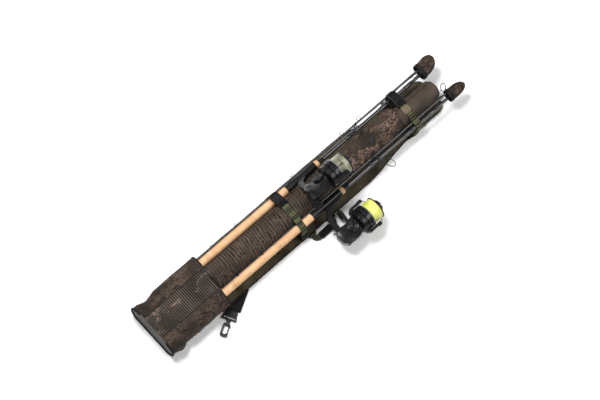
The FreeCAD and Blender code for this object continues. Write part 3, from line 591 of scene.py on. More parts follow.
def padded_panel():
    stations = [*np.linspace(0.017, PANEL_END - 0.026, 190), *np.linspace(PANEL_END - 0.024, PANEL_END, 14)]
    panel = piece(grid("back_panel_cover", [panel_ring(s) for s in stations], closed=True, caps=True),
                  "panel_fabric", "case", "back_panel")
    for side, sign, seed in (("left", 1, 5.0), ("right", -1, 9.0)):
        edge = []
        for s in np.linspace(0.262, PANEL_END - 0.027, 220):
            y = sign * (panel_half(s) + 0.0004) + 0.0010 * wobble((s, 0, 0), 26.0, seed)
            edge.append((at(s), y, PANEL / 2 + 0.0042))
        piece(tube(f"panel_binding_{side}", edge, 0.0019, ring=8), "panel_fabric", "case", look=EDGE)


def moulded_base():
    """Rubberised cup over the butt end. Its bound rim shows round the lower half of the closed face."""
    skin = [(0.02, 0.0022), (0.4, 0.0016), (0.8, 0.0008), (0.93, 0.0006), (0.975, 0.0020), (0.990, 0.0052),
            (0.992, 0.0085), (0.992, 0.0162), (0.975, 0.0162), (0.972, 0.0090)]
    rows = []
    for scale, s in skin:
        rows.append([(at(s) + 0.0006 * wobble((0, y, z), 40.0), y * scale, 0.050 + (z - 0.050) * scale)
                     for y, z in oval(0.101, 0.100, 0.044, 96)])
    piece(grid("base_cup_shell", rows, closed=True, caps=True), "base_rubber", "case", "base_cup")
    rim = [(at(0.0004), y * 1.004, max(0.0036, 0.050 + (z - 0.050) * 1.004)) for y, z in
           [*oval(0.101, 0.100, 0.044, 80, 0.62, 0.9999), *oval(0.101, 0.100, 0.044, 80, 0.0001, 0.38)]]
    piece(tube("base_rim_binding", rim, 0.0036, ring=8), "black_binding", "case", "base_binding")


# The gussets start and end at these shares of the way round the pocket, whose outline is this long.
POCKET_LOW, POCKET_HIGH = 0.166, 0.834


def pocket_point(share, s):
    """The butt pocket's cloth: pouched at its right base corner, dented at the left, slack at its mouth."""
    ring = oval(POCKET["half"], POCKET["high"], POCKET["corner"], 2, share, min(share + 1e-4, 0.9999))
    y, z = ring[0]
    out = Vector((0, y / 0.085, (z - 0.051) / 0.051)).normalized()
    along = (s - POCKET["start"]) / (POCKET["end"] - POCKET["start"])
    free = math.sin(math.pi * min(1.0, along * 1.15 + 0.02)) ** 0.6 if along < 0.9 else 0.45
    side = smooth(-y, 0.050, 0.085)
    left = smooth(y, 0.045, 0.085)
    push = 0.0022 * wobble((s * 1.6, y, z), 17.0, 1.0) * free
    push += 0.0011 * wobble((s, y * 1.5, z), 52.0, 2.0) * free
    ripple = math.sin((s * 620 + y * 260 + 3 * wobble((s, y, z), 14.0, 4.0)))
    push += 0.0009 * ripple * (side + 0.5 * left) * bump_at(s, 0.105, 0.055)
    push += 0.0085 * side * bump_at(s, 0.040, 0.017) - 0.0075 * side * bump_at(s, 0.073, 0.010)
    push -= 0.0090 * left * bump_at(s, 0.050, 0.026) * smooth(s, 0.012, 0.03)
    push *= smooth(s, POCKET["start"] - 0.002, POCKET["start"] + 0.012)
    push -= 0.0035 * smooth(z, 0.085, 0.1) * smooth(s, 0.225, 0.262) * (1 - abs(y) / 0.11)
    seam = bump_at(abs(y), MESH_HALF, 0.0035) * (z > 0.05)
    point = Vector((at(s), y, z)) + out * (push * (1 - 0.6 * seam) - 0.0010 * seam)
    point.x += 0.006 * smooth(s, 0.2, 0.258) * math.sin(y * 16) * (z > 0.02)
    return point


def butt_pocket():
    """Two camouflage gussets and a mesh front, sewn along two seams, hemmed at the mouth."""
    ys = oval(POCKET["half"], POCKET["high"], POCKET["corner"], 2001, 0.0, 0.9999)
    tops = [(i / 2000, y) for i, (y, z) in enumerate(ys) if z > 0.09]
    crossing = {side: next(share for share, y in tops if y <= sign * MESH_HALF)
                for side, sign in SIDES.items()}
    spans = {"left": (POCKET_LOW, crossing["left"]), "front": (crossing["left"], crossing["right"]),
             "right": (crossing["right"], POCKET_HIGH)}
    stations = np.linspace(POCKET["start"], POCKET["end"], 120)
    for name, (low, high) in spans.items():
        count = 74 if name == "front" else 66
        skin = grid(f"butt_pocket_{name}", [[pocket_point(u, s) for u in np.linspace(low, high, count)]
                                            for s in stations])
        thick(skin, 0.0016, -1)
        if name == "front":
            piece(skin, "pocket_mesh", "case", "pocket_mesh_front")
        else:
            piece(skin, "camo_fabric", "case", *(["butt_pocket"] if name == "left" else []))
    for side, share in crossing.items():
        welt = [pocket_point(share, s) + Vector((0, 0, 0.0006)) for s in stations]
        piece(tube(f"pocket_seam_{side}", welt, 0.0013, ring=8), "black_binding", "case")
    hem = [pocket_point(u, POCKET["end"]) for u in np.linspace(POCKET_LOW, POCKET_HIGH, 150)]
    piece(tube("pocket_mouth_hem", hem, 0.0021, ring=8), "camo_fabric", "case", look=HEM)
    fold = [pocket_point(u, POCKET["end"] - 0.013) + Vector((0, 0, 0.0002))
            for u in np.linspace(POCKET_LOW, POCKET_HIGH, 150)]
    piece(tube("pocket_hem_stitching", fold, 0.0006, ring=6), "black_binding", "case")


def sleeve_point(angle, s, shrink=0.0):
    """The storage sleeve's cloth: fine gathers across it, long soft folds, a flared mouth."""
    radius = SLEEVE["radius"] - shrink
    y, z = math.cos(angle), math.sin(angle)
    free = smooth(z, -0.75, -0.1)
    calm = 1 - 0.75 * smooth(s, 0.78, 0.92)
    push = 0.0020 * wobble((s * 1.3, y * 0.05, z * 0.05), 13.0, 7.0)
    gather = math.sin(s * 560 + 2.6 * angle + 4.2 * wobble((s, y * 0.06, z * 0.06), 15.0, 2.0))
    push += 0.00085 * gather * calm * smooth(s, 0.27, 0.33) * (0.55 + 0.45 * wobble((s, y, z), 9.0, 6.0))
    push += 0.0012 * wobble((s, y * 0.06, z * 0.06), 46.0, 8.0)
    push -= 0.0032 * bump_at(s, LOWER, 0.017) * smooth(z, 0.1, 0.8)
    push -= 0.0030 * (1 - smooth(s, SLEEVE["start"], SLEEVE["start"] + 0.03))
    push += 0.0015 * smooth(s, SLEEVE["end"] - 0.02, SLEEVE["end"])
    beside_rods = smooth(abs(y), 0.62, 0.74) * smooth(z, -0.45, -0.30)
    r = radius + min(0.0022 - 0.0030 * beside_rods, push) * free
    x = at(s) + 0.004 * math.sin(angle * 2 + 0.6) * smooth(s, SLEEVE["end"] - 0.05, SLEEVE["end"])
    return Vector((min(x, at(SLEEVE["end"] + 0.002)), r * y, SLEEVE["height"] + r * z))


def storage_sleeve():
    angles = np.linspace(-math.pi / 2, 1.5 * math.pi, 112, endpoint=False)
    stations = np.linspace(SLEEVE["start"], SLEEVE["end"], 460)
    skin = grid("storage_sleeve_cloth", [[sleeve_point(a, s) for a in angles] for s in stations], closed=True)
    thick(skin, 0.0014, -1)
    piece(skin, "camo_fabric", "case", "storage_sleeve", look=SLEEVE_CAMO)
    for name, angle in (("lower", -0.38), ("upper", math.pi - 0.15)):
        seam = [sleeve_point(angle, s) for s in np.linspace(SLEEVE["start"], SLEEVE["end"], 260)]
        piece(tube(f"sleeve_seam_{name}", seam, 0.0011, ring=6), "black_binding", "case")
    hem = [sleeve_point(a, SLEEVE["end"] - 0.0015) for a in np.linspace(0, TAU, 120, endpoint=False)]
    piece(tube("sleeve_mouth_hem", hem, 0.0017, closed=True, ring=8), "camo_fabric", "case", look=HEM)
    stitch = [sleeve_point(a, SLEEVE["end"] - 0.016) for a in np.linspace(0, TAU, 120, endpoint=False)]
    piece(tube("sleeve_hem_stitching", stitch, 0.0007, closed=True, ring=6), "black_binding", "case")
    for side, sign in SIDES.items():
        flange = [[(at(s), sign * (0.020 + 0.034 * t), PANEL + 0.0022 + 0.0105 * (1 - t) ** 2.2
                    + 0.0006 * wobble((s, t * 0.04, 0), 60.0)) for t in np.linspace(0, 1, 9)]
                  for s in np.linspace(SLEEVE["start"], SLEEVE["end"], 200)]
        piece(thick(grid(f"sleeve_flange_{side}", flange), 0.0012, 0), "panel_fabric", "case")


def bag_radius(s):
    """Radius of the stick bag, rounded off over its last 30 mm."""
    rounding = max(0.0, (s - BAG["end"] + 0.03) / 0.03)
    return BAG["radius"] * max(0.02, 1 - rounding ** 2.6) ** 0.5


def stick_bag():
    """Round-ended bag for bank sticks: it shows in front of the sleeve, and slides out of it."""
    end_stations = [BAG["end"] - 0.03 * (1 - math.sin(t)) for t in np.linspace(0.05, math.pi / 2, 22)]
    rows = []
    for s in [*np.linspace(BAG["start"], BAG["end"] - 0.03, 240), *end_stations]:
        radius = bag_radius(s)
        row = []
        for a in np.linspace(0, TAU, 80, endpoint=False):
            y, z = math.cos(a), math.sin(a)
            push = 0.0018 * wobble((s * 1.2, y * 0.04, z * 0.04), 19.0, 11.0)
            push += 0.0009 * wobble((s, y * 0.05, z * 0.05), 55.0, 12.0)
            r = radius + min(0.0007, push) * smooth(radius, 0.010, 0.034)
            row.append((at(s), r * y, SLEEVE["height"] + r * z))
        rows.append(row)
    bag = piece(grid("stick_bag_cover", rows, closed=True, caps=True), "bag_fabric", "stick_bag", "stick_bag")
    for name, angle in (("upper", 1.05), ("lower", -0.75)):
        seam = []
        for s in np.linspace(SLEEVE["end"] - 0.33, BAG["end"] - 0.012, 140):
            r = bag_radius(s) + 0.0003
            seam.append((at(s), r * math.cos(angle), SLEEVE["height"] + r * math.sin(angle)))
        piece(tube(f"stick_bag_seam_{name}", seam, 0.0010, ring=6), "bag_fabric", "stick_bag", look=EDGE)


# ---- straps ----

def tangent_run(first, second):
    """Where a belt leaves one circle and meets the next, and the direction it faces there."""
    (ay, az, ar), (by, bz, br) = first, second
    distance = math.hypot(by - ay, bz - az)
    angle = math.atan2(bz - az, by - ay) - math.acos((ar - br) / distance)
    out = np.array((math.cos(angle), math.sin(angle)))
    return np.array((ay, az)) + ar * out, np.array((by, bz)) + br * out, angle


def belt_line(circles, grow):
    """Points (y, z, facing angle) of a strap round circles (y, z, radius), and each run's middle."""
    grown = [(y, z, r + grow) for y, z, r in circles]
    runs = [tangent_run(a, b) for a, b in zip(grown, grown[1:])]
    points, middles = [], []
    for i, (leave, meet, angle) in enumerate(runs):
        length = float(np.linalg.norm(meet - leave))
        for t in np.linspace(0, 1, max(2, int(length / 0.002))):
            points.append((*(leave + (meet - leave) * t), angle))
            if len(middles) == i and t >= 0.5:
                middles.append(len(points) - 1)
        if i + 1 < len(runs):
            y, z, r = grown[i + 1]
            turn = (runs[i + 1][2] - angle) % TAU
            for t in np.linspace(0, 1, max(3, int(turn * r / 0.0015)))[1:-1]:
                a = angle + turn * t
                points.append((y + r * math.cos(a), z + r * math.sin(a), a))
    return points, middles


def webbing(name, line, width, thickness, across, ladder=True):
    """Woven strap along a line of (point, outward direction), with rounded edges and raised bars."""
    section = [(-0.5, 0), (-0.47, 0.5), (-0.30, 0.62), (0, 0.66), (0.30, 0.62), (0.47, 0.5), (0.5, 0),
               (0.47, -0.5), (0, -0.5), (-0.47, -0.5)]
    rows, travel = [], 0.0
    for i, (point, out) in enumerate(line):
        if i:
            travel += (Vector(point) - Vector(line[i - 1][0])).length
        raised = 0.5 + 0.5 * math.cos(travel * TAU / 0.0042) if ladder else 0.0
        rows.append([Vector(point) + Vector(across[i] if isinstance(across, list) else across) * (a * width)
                     + Vector(out) * (b * thickness * (1 + 0.35 * raised * (b > 0.55)))
                     for a, b in section])
    return grid(name, rows, closed=True, caps=True)


def strap_run(points, lengths, low, high, step=0.0007):
    """Places (y, z) and outward directions at even steps between two lengths along a strap."""
    for d in np.arange(low, high, step):
        y, z, a = (np.interp(d, lengths, [p[k] for p in points]) for k in range(3))
        yield y, z, (0, math.cos(a), math.sin(a))


def strap(prefix, s, circles, edge, run):
    """Both halves of a strap, from the panel's left edge over the given circles to its right edge."""
    corner = (edge - 0.0025, PANEL - 0.0025, 0.0025)
    circles = [corner, *circles, (-corner[0], *corner[1:])]
    offset = STRAP_GAP + WEB_THICK / 2
    points, middles = belt_line(circles, offset)
    points = [(edge + offset, 0.0012, 0.0), *points, (-edge - offset, 0.0012, math.pi)]
    middle = middles[run] + 1
    lengths = np.r_[0, np.cumsum([math.dist(a[:2], b[:2]) for a, b in zip(points, points[1:])])]
    halves = {"strap_anchor": (0.0, lengths[middle] - SOCKET + 0.003),
              "strap": (lengths[middle] + PLUG - 0.003, lengths[-1])}
    for label, (low, high) in halves.items():
        line = [((at(s), y, z), out) for y, z, out in strap_run(points, lengths, low, high)]
        body = "case" if label == "strap_anchor" else f"{prefix}_strap_half"
        piece(webbing(f"{prefix}_{label}_webbing", line, WEB, WEB_THICK, (1, 0, 0)), "olive_webbing", body,
              f"{prefix}_{label}")
    return points, lengths


def layer(name, points, lengths, low, high, width, thickness, station_at, slot, body, stands_for, ladder):
    """A piece sewn on the outside of a strap between two lengths along it."""
    lift = WEB_THICK / 2 + thickness / 2 + 0.0001
    line = [((at(station_at), y + lift * out[1], z + lift * out[2]), out)
            for y, z, out in strap_run(points, lengths, low, high)]
    piece(webbing(name, line, width, thickness, (1, 0, 0), ladder), slot, body, stands_for)


def tip_circle(side, s):
    share = (s - TIP_START) / (TIP_END - TIP_START)
    thin, thick_end = TIP_LINES[side]
    y = thin[0] + (thick_end[0] - thin[0]) * share
    return (y, thin[1] + (thick_end[1] - thin[1]) * share, 0.0013 + 0.0035 * share)


def lengths_where(points, lengths, test):
    inside = [d for d, p in zip(lengths, points) if test(p[0], p[1])]
    return min(inside), max(inside)


def straps_and_wings():
    sleeve, bag = (0.0, SLEEVE["height"], SLEEVE["radius"]), (0.0, SLEEVE["height"], BAG["radius"])
    cork = [(y, ROD_Z, CORK_RADIUS) for y in (ROD_Y, -ROD_Y)]
    points, lengths = strap("lower", LOWER, [tip_circle("left", LOWER), cork[0], sleeve, cork[1]], HALF, 2)
    low, high = lengths_where(points, lengths, lambda y, z: y < -0.070 and 0.018 < z < 0.044)
    layer("lower_strap_folded_end", points, lengths, low, high, WEB, 0.0024, LOWER, "black_binding",
          "lower_strap_half", "lower_strap_end_tab", True)
    top = PANEL / 2 + WING["height"]
    wing = (-TIP_HALF - WING["thickness"] + 0.0015, top - 0.0015, 0.0015)
    blank = (-ROD_Y, ROD_Z, BLANK_RADIUS)
    circles = [tip_circle("left", UPPER), bag, tip_circle("right", UPPER), blank, wing]
    points, lengths = strap("upper", UPPER, circles, TIP_HALF + WING["thickness"], 1)
    low, high = lengths_where(points, lengths, lambda y, z: -0.014 < y < 0.012 and z > 0.08)
    layer("upper_strap_keeper_patch", points, lengths, low, high, WEB + 0.006, 0.0016, UPPER, "tan_keeper",
          "upper_strap_half", "upper_strap_keeper", False)
    for side, sign in SIDES.items():
        rows, rim = [], []
        for t in np.linspace(-1, 1, 34):
            lift = WING["height"] * (1 - 0.30 * abs(t) ** 3.2)
            row = []
            for u in np.linspace(0, 1, 16):
                flare = 0.0075 * smooth(abs(t), 0.5, 1.0) * u ** 1.5
                y = sign * (TIP_HALF + WING["thickness"] / 2 + flare)
                row.append((at(UPPER) + t * WING["length"] / 2, y, PANEL / 2 + u * lift * 0.985))
            rows.append(row)
            rim.append(row[-1])
        thing = thick(grid(f"{side}_wing_cloth", rows), 0.0030, 0)
        piece(thing, "camo_fabric", "case", f"{side}_strap_wing")
        rim = [rows[0][0], *rows[0][3:-1:4], *rim, *reversed(rows[-1][3:-1:4]), rows[-1][0]]
        piece(tube(f"{side}_wing_binding", rim, 0.0024, ring=8), "olive_webbing", "case")


# ---- rods ----

def turned_part(name, profile, side, slot, look=None):
    """A turned piece on a rod: its profile is pairs of station and radius."""
    place = Matrix.Translation((BUTT, SIDES[side] * ROD_Y, ROD_Z))
    return piece(lathe(name, profile, place, 40), slot, f"{side}_rod", look=look)


def collar(start, end, radius, round_by=0.0008):
    return [(start, radius - round_by * 2), (start + round_by, radius), (end - round_by, radius),
            (end, radius - round_by * 2)]


def thread_wrap(start, end, radius):
    """Whipping round a blank: a lacquered barrel with its ends tapered."""
    return [(start - 0.003, radius), (start, radius + 0.0011), (end, radius + 0.0011), (end + 0.003, radius)]


def rod_details(side):
    """Rings and thread of the reel seat, the blank's whippings, and the tip section's small guides."""
    for i, (start, end, radius) in enumerate(((0.6565, 0.6585, 0.0142), (0.6770, 0.6786, 0.0140),
                                              (0.7905, 0.7925, 0.0139), (0.8058, 0.8075, 0.0100))):
        turned_part(f"{side}_seat_ring_{i}", collar(start, end, radius), side, "guide_steel", look=DARK_TRIM)
    threads = []
    for k in range(26):
        x = THREAD_END - k * THREAD_PITCH
        threads += [(x, 0.01255), (x - THREAD_PITCH / 2, 0.0131)]
    ridges = [(x, r) for x, r in reversed(threads) if x > THREAD_START]
    turned_part(f"{side}_seat_thread", ridges, side, "seat_black")
    checks = [(0.8070, 0.0098), (0.8110, 0.0092), (0.8200, 0.0080), (0.8290, 0.0076)]
    turned_part(f"{side}_blank_checks", checks, side, "seat_black")
    for i, s in enumerate((0.957, 1.120, 1.240)):
        share = (s - FORE_END) / (BLANK_END - FORE_END)
        radius = BLANK_RADIUS + (BLANK_END_RADIUS - BLANK_RADIUS) * share
        turned_part(f"{side}_blank_wrap_{i}", thread_wrap(s - 0.018, s + 0.018, radius), side, "carbon_blank")
        for j, end in enumerate((s - 0.0195, s + 0.0180)):
            turned_part(f"{side}_wrap_band_{i}_{j}", collar(end, end + 0.0015, radius + 0.0014, 0.0003), side,
                        "guide_steel", look=DARK_TRIM)
    spots = ((0.330, 0.0045), (0.440, 0.0052), (0.700, 0.0070), (0.930, 0.0085), (1.010, 0.0100))
    if side == "right":
        spots = ((0.330, 0.0045), (0.440, 0.0052), (0.690, 0.0060), (0.960, 0.0080))
    out = Vector((0, 0.35, 0.94)) if side == "left" else Vector((0, 0.10, 0.995))
    for i, (s, ring) in enumerate(spots):
        y, z, radius = tip_circle(side, s)
        base = Vector((at(s), y, z))
        small_guide(f"{side}_tip_guide_{i}", base, out, ring, radius, side)


def small_guide(name, base, out, ring, radius, side):
    """A single-leg guide: its ring, its leg, and the thread wrap over its foot."""
    centre = base + out * (radius + ring * 1.35) + Vector((ring * 0.5, 0, 0))
    lean = (Vector((1, 0, 0)) * math.cos(0.4) - out * math.sin(0.4)).normalized()
    across = lean.cross(out).normalized()
    up = across.cross(lean)
    hoop = [centre + (across * math.cos(a) + up * math.sin(a)) * ring
            for a in np.linspace(0, TAU, 36, endpoint=False)]
    legs = [tube(f"{name}_a", hoop, 0.0009, closed=True, ring=6)]
    for sign in (-1, 1):
        foot = base + out * (radius + 0.0006) + Vector((-ring * 1.6, 0, 0))
        knee = foot + Vector((ring * 0.5, 0, 0)) + out * ring * 0.25
        hold = centre + across * (sign * ring * 0.8) - up * ring * 0.6
        legs.append(tube(f"{name}_b", [foot, knee, hold], 0.0007, ring=6))
    piece(join(name, legs), "guide_steel", f"{side}_rod")
    place = Matrix.Translation((base.x, base.y, base.z))
    wrap = [(-ring * 2.4 - 0.004, radius * 0.9), (-ring * 2.4, radius + 0.0008), (-ring, radius + 0.0009),
            (-ring + 0.003, radius * 0.9)]
    piece(lathe(f"{name}_wrap", wrap, place, 24), "carbon_blank", f"{side}_rod")


# ---- reels ----

def reel_matrix(side, turned_by=0.0):
    origin, roll, _ = REELS[side]
    return Matrix.Translation(origin) @ Matrix.Rotation(math.radians(roll + turned_by), 4, "X")


def disc(name, centre, axis, profile, place, steps=48):
    """A turned piece about any axis: profile pairs are height along the axis and radius."""
    turn = Vector((1, 0, 0)).rotation_difference(Vector(axis)).to_matrix().to_4x4()
    return lathe(name, profile, place @ Matrix.Translation(centre) @ turn, steps)


def prism_y(name, outline, half, bevel, place):
    """A polygon in the reel's XZ plane, extruded across Y, with soft edges."""
    count = len(outline)
    points = [place @ Vector((x, s * half, z)) for s in (-1, 1) for x, z in outline]
    faces = [tuple(range(count)), tuple(range(2 * count - 1, count - 1, -1))]
    faces += [(i, i + count, (i + 1) % count + count, (i + 1) % count) for i in range(count)]
    thing = mesh_object(name, points, faces)
    modifier(thing, "BEVEL", width=bevel, segments=3, angle_limit=0.5)
    return baked(thing)


def reel_shell(side):
    place, body = reel_matrix(side), f"{side}_rod"
    cover = [(-0.0728, 0.0060), (-0.0718, -0.0205), (-0.0590, -0.0345), (-0.0260, -0.0362),
             (-0.0340, -0.0080), (-0.0430, 0.0270), (-0.0660, 0.0208)]
    piece(prism_y(f"{side}_rear_cover", cover, 0.0183, 0.0035, place), "reel_shell", body, look=REEL_GREY)
    ribs = []
    for y in (-0.0125, -0.0075, -0.0025, 0.0025, 0.0075, 0.0125):
        ribs.append(rounded_box("rib", (0.052, 0.0022, 0.0030), (-0.0310, y, -0.0358), 0.0008, place))
    for face in (-1, 1):
        for k in range(5):
            z = -0.026 + k * 0.0085
            ribs.append(rounded_box("rib", (0.026 - 0.002 * k, 0.0014, 0.0030),
                                    (-0.0520, face * 0.0187, z), 0.0006, place))
    piece(join(f"{side}_cover_ribs", ribs), "reel_shell", body, look=REEL_GREY)
    for face, height in ((-1, 0.0240), (1, 0.0220)):
        rings = [(height - 0.001, 0.0196), (height + 0.0010, 0.0192), (height + 0.0016, 0.0176),
                 (height + 0.0004, 0.0168), (height + 0.0004, 0.0140), (height + 0.0020, 0.0132),
                 (height + 0.0026, 0.0098), (height + 0.0012, 0.0090), (height + 0.0012, 0.0052),
                 (height + 0.0030, 0.0045), (height + 0.0034, 0.0006)]
        if face > 0:
            rings = rings[:8] + [(height + 0.0012, 0.0092)]
        end = "crank" if face > 0 else "far"
        plate = disc(f"{side}_side_plate_{end}", (-0.010, 0, 0), (0, face, 0), rings, place)
        piece(plate, "reel_shell", body)
        screws = []
        for k in range(5):
            a = k * TAU / 5 + 0.4
            centre = (-0.010 + 0.0154 * math.cos(a), 0, 0.0154 * math.sin(a))
            screws.append(disc("screw", centre, (0, face, 0), [(height, 0.0019), (height + 0.0014, 0.0017),
                                                               (height + 0.0016, 0.0005)], place, 12))
        piece(join(f"{side}_plate_screws_{end}", screws), "guide_steel", body, look=DARK_TRIM)
    seam = [(-0.068, 0.0195), (-0.044, 0.0255), (-0.022, 0.0226), (0.002, 0.0292), (0.0098, 0.0250),
            (0.0098, -0.0250), (0.0055, -0.0336), (-0.024, -0.0327)]
    loop = [place @ Vector((x, -0.0171, z)) for x, z in seam]
    piece(tube(f"{side}_housing_seam", loop, 0.0009, closed=True, ring=6), "reel_shell", body)
    lever = rounded_box(f"{side}_reverse_lever", (0.010, 0.008, 0.004), (-0.0700, 0.0, 0.0235), 0.0015, place)
    piece(lever, "reel_shell", body)


def spool_profile():
    skirt = [(0.038, 0.0405), (0.0385, 0.0428), (0.0400, 0.0430), (0.0570, 0.0430), (0.0590, 0.0428),
             (0.0604, 0.0418), (0.0620, 0.0408), (0.0620, 0.0310), (0.0990, 0.0310), (0.0990, 0.0402),
             (0.1000, 0.0410), (0.1020, 0.0410), (0.1030, 0.0400), (0.1036, 0.0360), (0.1020, 0.0340),
             (0.1022, 0.0240), (0.1040, 0.0225), (0.1040, 0.0208), (0.1150, 0.0208), (0.1172, 0.0190),
             (0.1180, 0.0160), (0.1180, 0.0060), (0.1165, 0.0050), (0.1165, 0.0004)]
    return [(0.038, 0.0045), *skirt]


def reel_spool(side):
    place, body = reel_matrix(side), f"{side}_spool"
    spool = lathe(f"{side}_spool_shell", spool_profile(), place, 96)
    cutters = []
    for k in range(14):
        a = k * TAU / 14
        out = Vector((0, math.cos(a), math.sin(a)))
        cutters.append(disc("hole", out * 0.0385 + Vector((0.0485, 0, 0)), out,
                            [(0.0, 0.0042), (0.010, 0.0042)], place, 20))
    for k in range(10):
        a = k * TAU / 10 + 0.2
        centre = Vector((0.1000, 0.0290 * math.cos(a), 0.0290 * math.sin(a)))
        cutters.append(disc("hole", centre, (1, 0, 0), [(0.0, 0.0026), (0.010, 0.0026)], place, 14))
    cutter = join("cutter", cutters)
    modifier(spool, "BOOLEAN", operation="DIFFERENCE", object=cutter, solver="EXACT")
    baked(spool)
    bpy.data.objects.remove(cutter)
    shaded_smooth(spool)
    modifier(spool, "EDGE_SPLIT", split_angle=0.6)
    baked(spool)
    piece(spool, "spool_metal", body, f"{side}_spool")
    wound = []
    for t in np.linspace(0, 1, 64):
        x = 0.0621 + 0.0368 * t
        barrel = 0.0378 + 0.0008 * math.sin(math.pi * t)
        barrel += 0.00025 * math.sin(t * 170) + 0.0003 * wobble((t, 0, 0), 9.0)
        wound.append((x, barrel))
    name = "clear_line" if side == "left" else "yellow_line"
    piece(lathe(f"{side}_wound_line", [(0.0621, 0.030), *wound, (0.0989, 0.030)], place, 96), name, body,
          f"{side}_line_winding")
    for label, start, radius in (("skirt", 0.0595, 0.0431), ("lip", 0.1005, 0.0413)):
        ring = [(start - 0.0006, radius - 0.0008), (start - 0.0004, radius), (start + 0.0004, radius),
                (start + 0.0006, radius - 0.0008)]
        piece(lathe(f"{side}_{label}_ring", ring, place, 96), "spool_metal", body,
              look=SILVER if label == "skirt" else None)
    ribs = []
    for k in range(16):
        turn = place @ Matrix.Rotation(k * TAU / 16, 4, "X")
        ribs.append(rounded_box("rib", (0.0095, 0.0026, 0.0018), (0.1100, 0.0, 0.0209), 0.0006, turn))
    bar = rounded_box("bar", (0.0050, 0.0300, 0.0070), (0.1180, 0.0, 0.0), 0.0016, place)
    piece(join(f"{side}_drag_knob_grips", [*ribs, bar]), "reel_shell", body, look=REEL_GREY)


def reel_rotor(side):
    place, body = reel_matrix(side, REELS[side][2]), f"{side}_rotor"
    for sign in (1, -1):
        arm = rounded_box(f"{side}_arm_cover_{'a' if sign > 0 else 'b'}", (0.034, 0.0135, 0.0026),
                          (0.0450, 0.0, sign * 0.0535), 0.0011, place)
        piece(arm, "reel_shell", body, look=REEL_GREY)
        hub = disc(f"{side}_arm_screw_{'a' if sign > 0 else 'b'}", (0.071, 0, 0), (0, 0, sign),
                   [(0.0530, 0.0055), (0.0541, 0.0050), (0.0541, 0.0004)], place, 24)
        piece(hub, "guide_steel", body, look=SILVER)
    rings = [(0.0175, 0.0405), (0.0180, 0.0427), (0.0200, 0.0429), (0.0215, 0.0421)]
    piece(lathe(f"{side}_rotor_band", rings, place, 96), "reel_shell", body, look=REEL_GREY)


# ---- caps, handle, shoulder strap ----

def cap_ring(s, start, y, width, lean):
    """Cross section of a tip cap: full at the mouth, rounded off at the end, leaning a little outwards."""
    t = (s - start) / CAP_LENGTH
    scale = max(0.03, 1 - max(0.0, (t - 0.45) / 0.55) ** 2.4) ** 0.5
    bulge = 1 + 0.05 * math.sin(math.pi * min(1, t * 1.3))
    row = []
    for py, pz in oval(width / 2, CAP_HIGH, 0.018, 72):
        push = 0.0012 * wobble((s, py + y, pz), 42.0, 21.0) + 0.0007 * wobble((s, py + y, pz), 95.0, 22.0)
        dy, dz = py * scale * bulge, (pz - CAP_HIGH / 2) * scale * bulge
        grow = 1 + push * 25 * (t > 0.02)
        row.append((at(s), y + lean * t ** 1.6 + dy * grow, CAP_MIDDLE + dz * grow))
    return row


def tip_cap(side):
    start, y, width, lean = CAPS[side]
    shares = [*np.linspace(0, 0.9, 34), *(0.9 + 0.1 * math.sin(t) for t in np.linspace(0.1, math.pi / 2, 10))]
    rings = [cap_ring(start + t * CAP_LENGTH, start, y, width, lean) for t in shares]
    skin = grid(f"{side}_cap_cloth", rings, closed=True)
    mesh_fill(skin)
    thick(skin, 0.0022, -1)
    piece(skin, "camo_fabric", f"{side}_cap", f"{side}_tip_cap", look=CAP_CAMO)
    rows = []
    for s, grow in ((0.0010, 0.0), (0.0012, 0.0016), (0.0040, 0.0021), (0.0070, 0.0014), (0.0100, 0.0020),
                    (0.0128, 0.0015), (0.0130, 0.0)):
        ring = cap_ring(start + s, start, y, width, lean)
        wider, higher = 1 + grow / (width / 2), 1 + grow / (CAP_HIGH / 2)
        rows.append([(x, y + (py - y) * wider, CAP_MIDDLE + (pz - CAP_MIDDLE) * higher)
                     for x, py, pz in ring])
    piece(grid(f"{side}_cap_elastic", rows, closed=True), "black_binding", f"{side}_cap", f"{side}_cap_cuff")
    seam = [cap_ring(start + t * CAP_LENGTH, start, y, width, lean)[36] for t in np.linspace(0.02, 0.97, 50)]
    piece(tube(f"{side}_cap_seam", seam, 0.0012, ring=6), "black_binding", f"{side}_cap")


def mesh_fill(thing, width=72):
    """Closes the last row, of width points, of a closed skin."""
    mesh = thing.data
    count = len(mesh.vertices)
    points = [v.co.copy() for v in mesh.vertices]
    faces = [tuple(p.vertices) for p in mesh.polygons]
    centre = sum((points[count - width + i] for i in range(width)), Vector()) / width
    points.append(centre)
    faces += [(count - width + i, count - width + (i + 1) % width, count) for i in range(width)]
    mesh.clear_geometry()
    mesh.from_pydata([tuple(p) for p in points], [], faces)
    mesh.update()
    shaded_smooth(thing)


def puffed(thing, voxel, pressure, cap):
    """Inflates a closed cloth form a little, so that it crowns between its edges."""
    modifier(thing, "REMESH", mode="VOXEL", voxel_size=voxel)
    baked(thing)
    rest = np.array([v.co[:] for v in thing.data.vertices])
    cloth = modifier(thing, "CLOTH")
    cloth.settings.use_pressure = True
    cloth.settings.uniform_pressure_force = pressure
    cloth.settings.effector_weights.gravity = 0
    cloth.settings.quality = 5
    cloth.point_cache.frame_end = 20
    for step in range(1, 21):
        bpy.context.scene.frame_set(step)
    graph = bpy.context.evaluated_depsgraph_get()
    moved = np.array([v.co[:] for v in thing.evaluated_get(graph).data.vertices])
    thing.modifiers.clear()
    bpy.context.scene.frame_set(1)
    shift = moved - rest
    size = np.maximum(np.linalg.norm(shift, axis=1, keepdims=True), 1e-9)
    thing.data.vertices.foreach_set("co", (rest + shift * np.minimum(1, cap / size)).ravel())
    thing.data.update()
    modifier(thing, "SMOOTH", iterations=3, factor=0.5)
    modifier(thing, "SUBSURF", levels=1, render_levels=1)
    baked(thing)
    return shaded_smooth(thing)


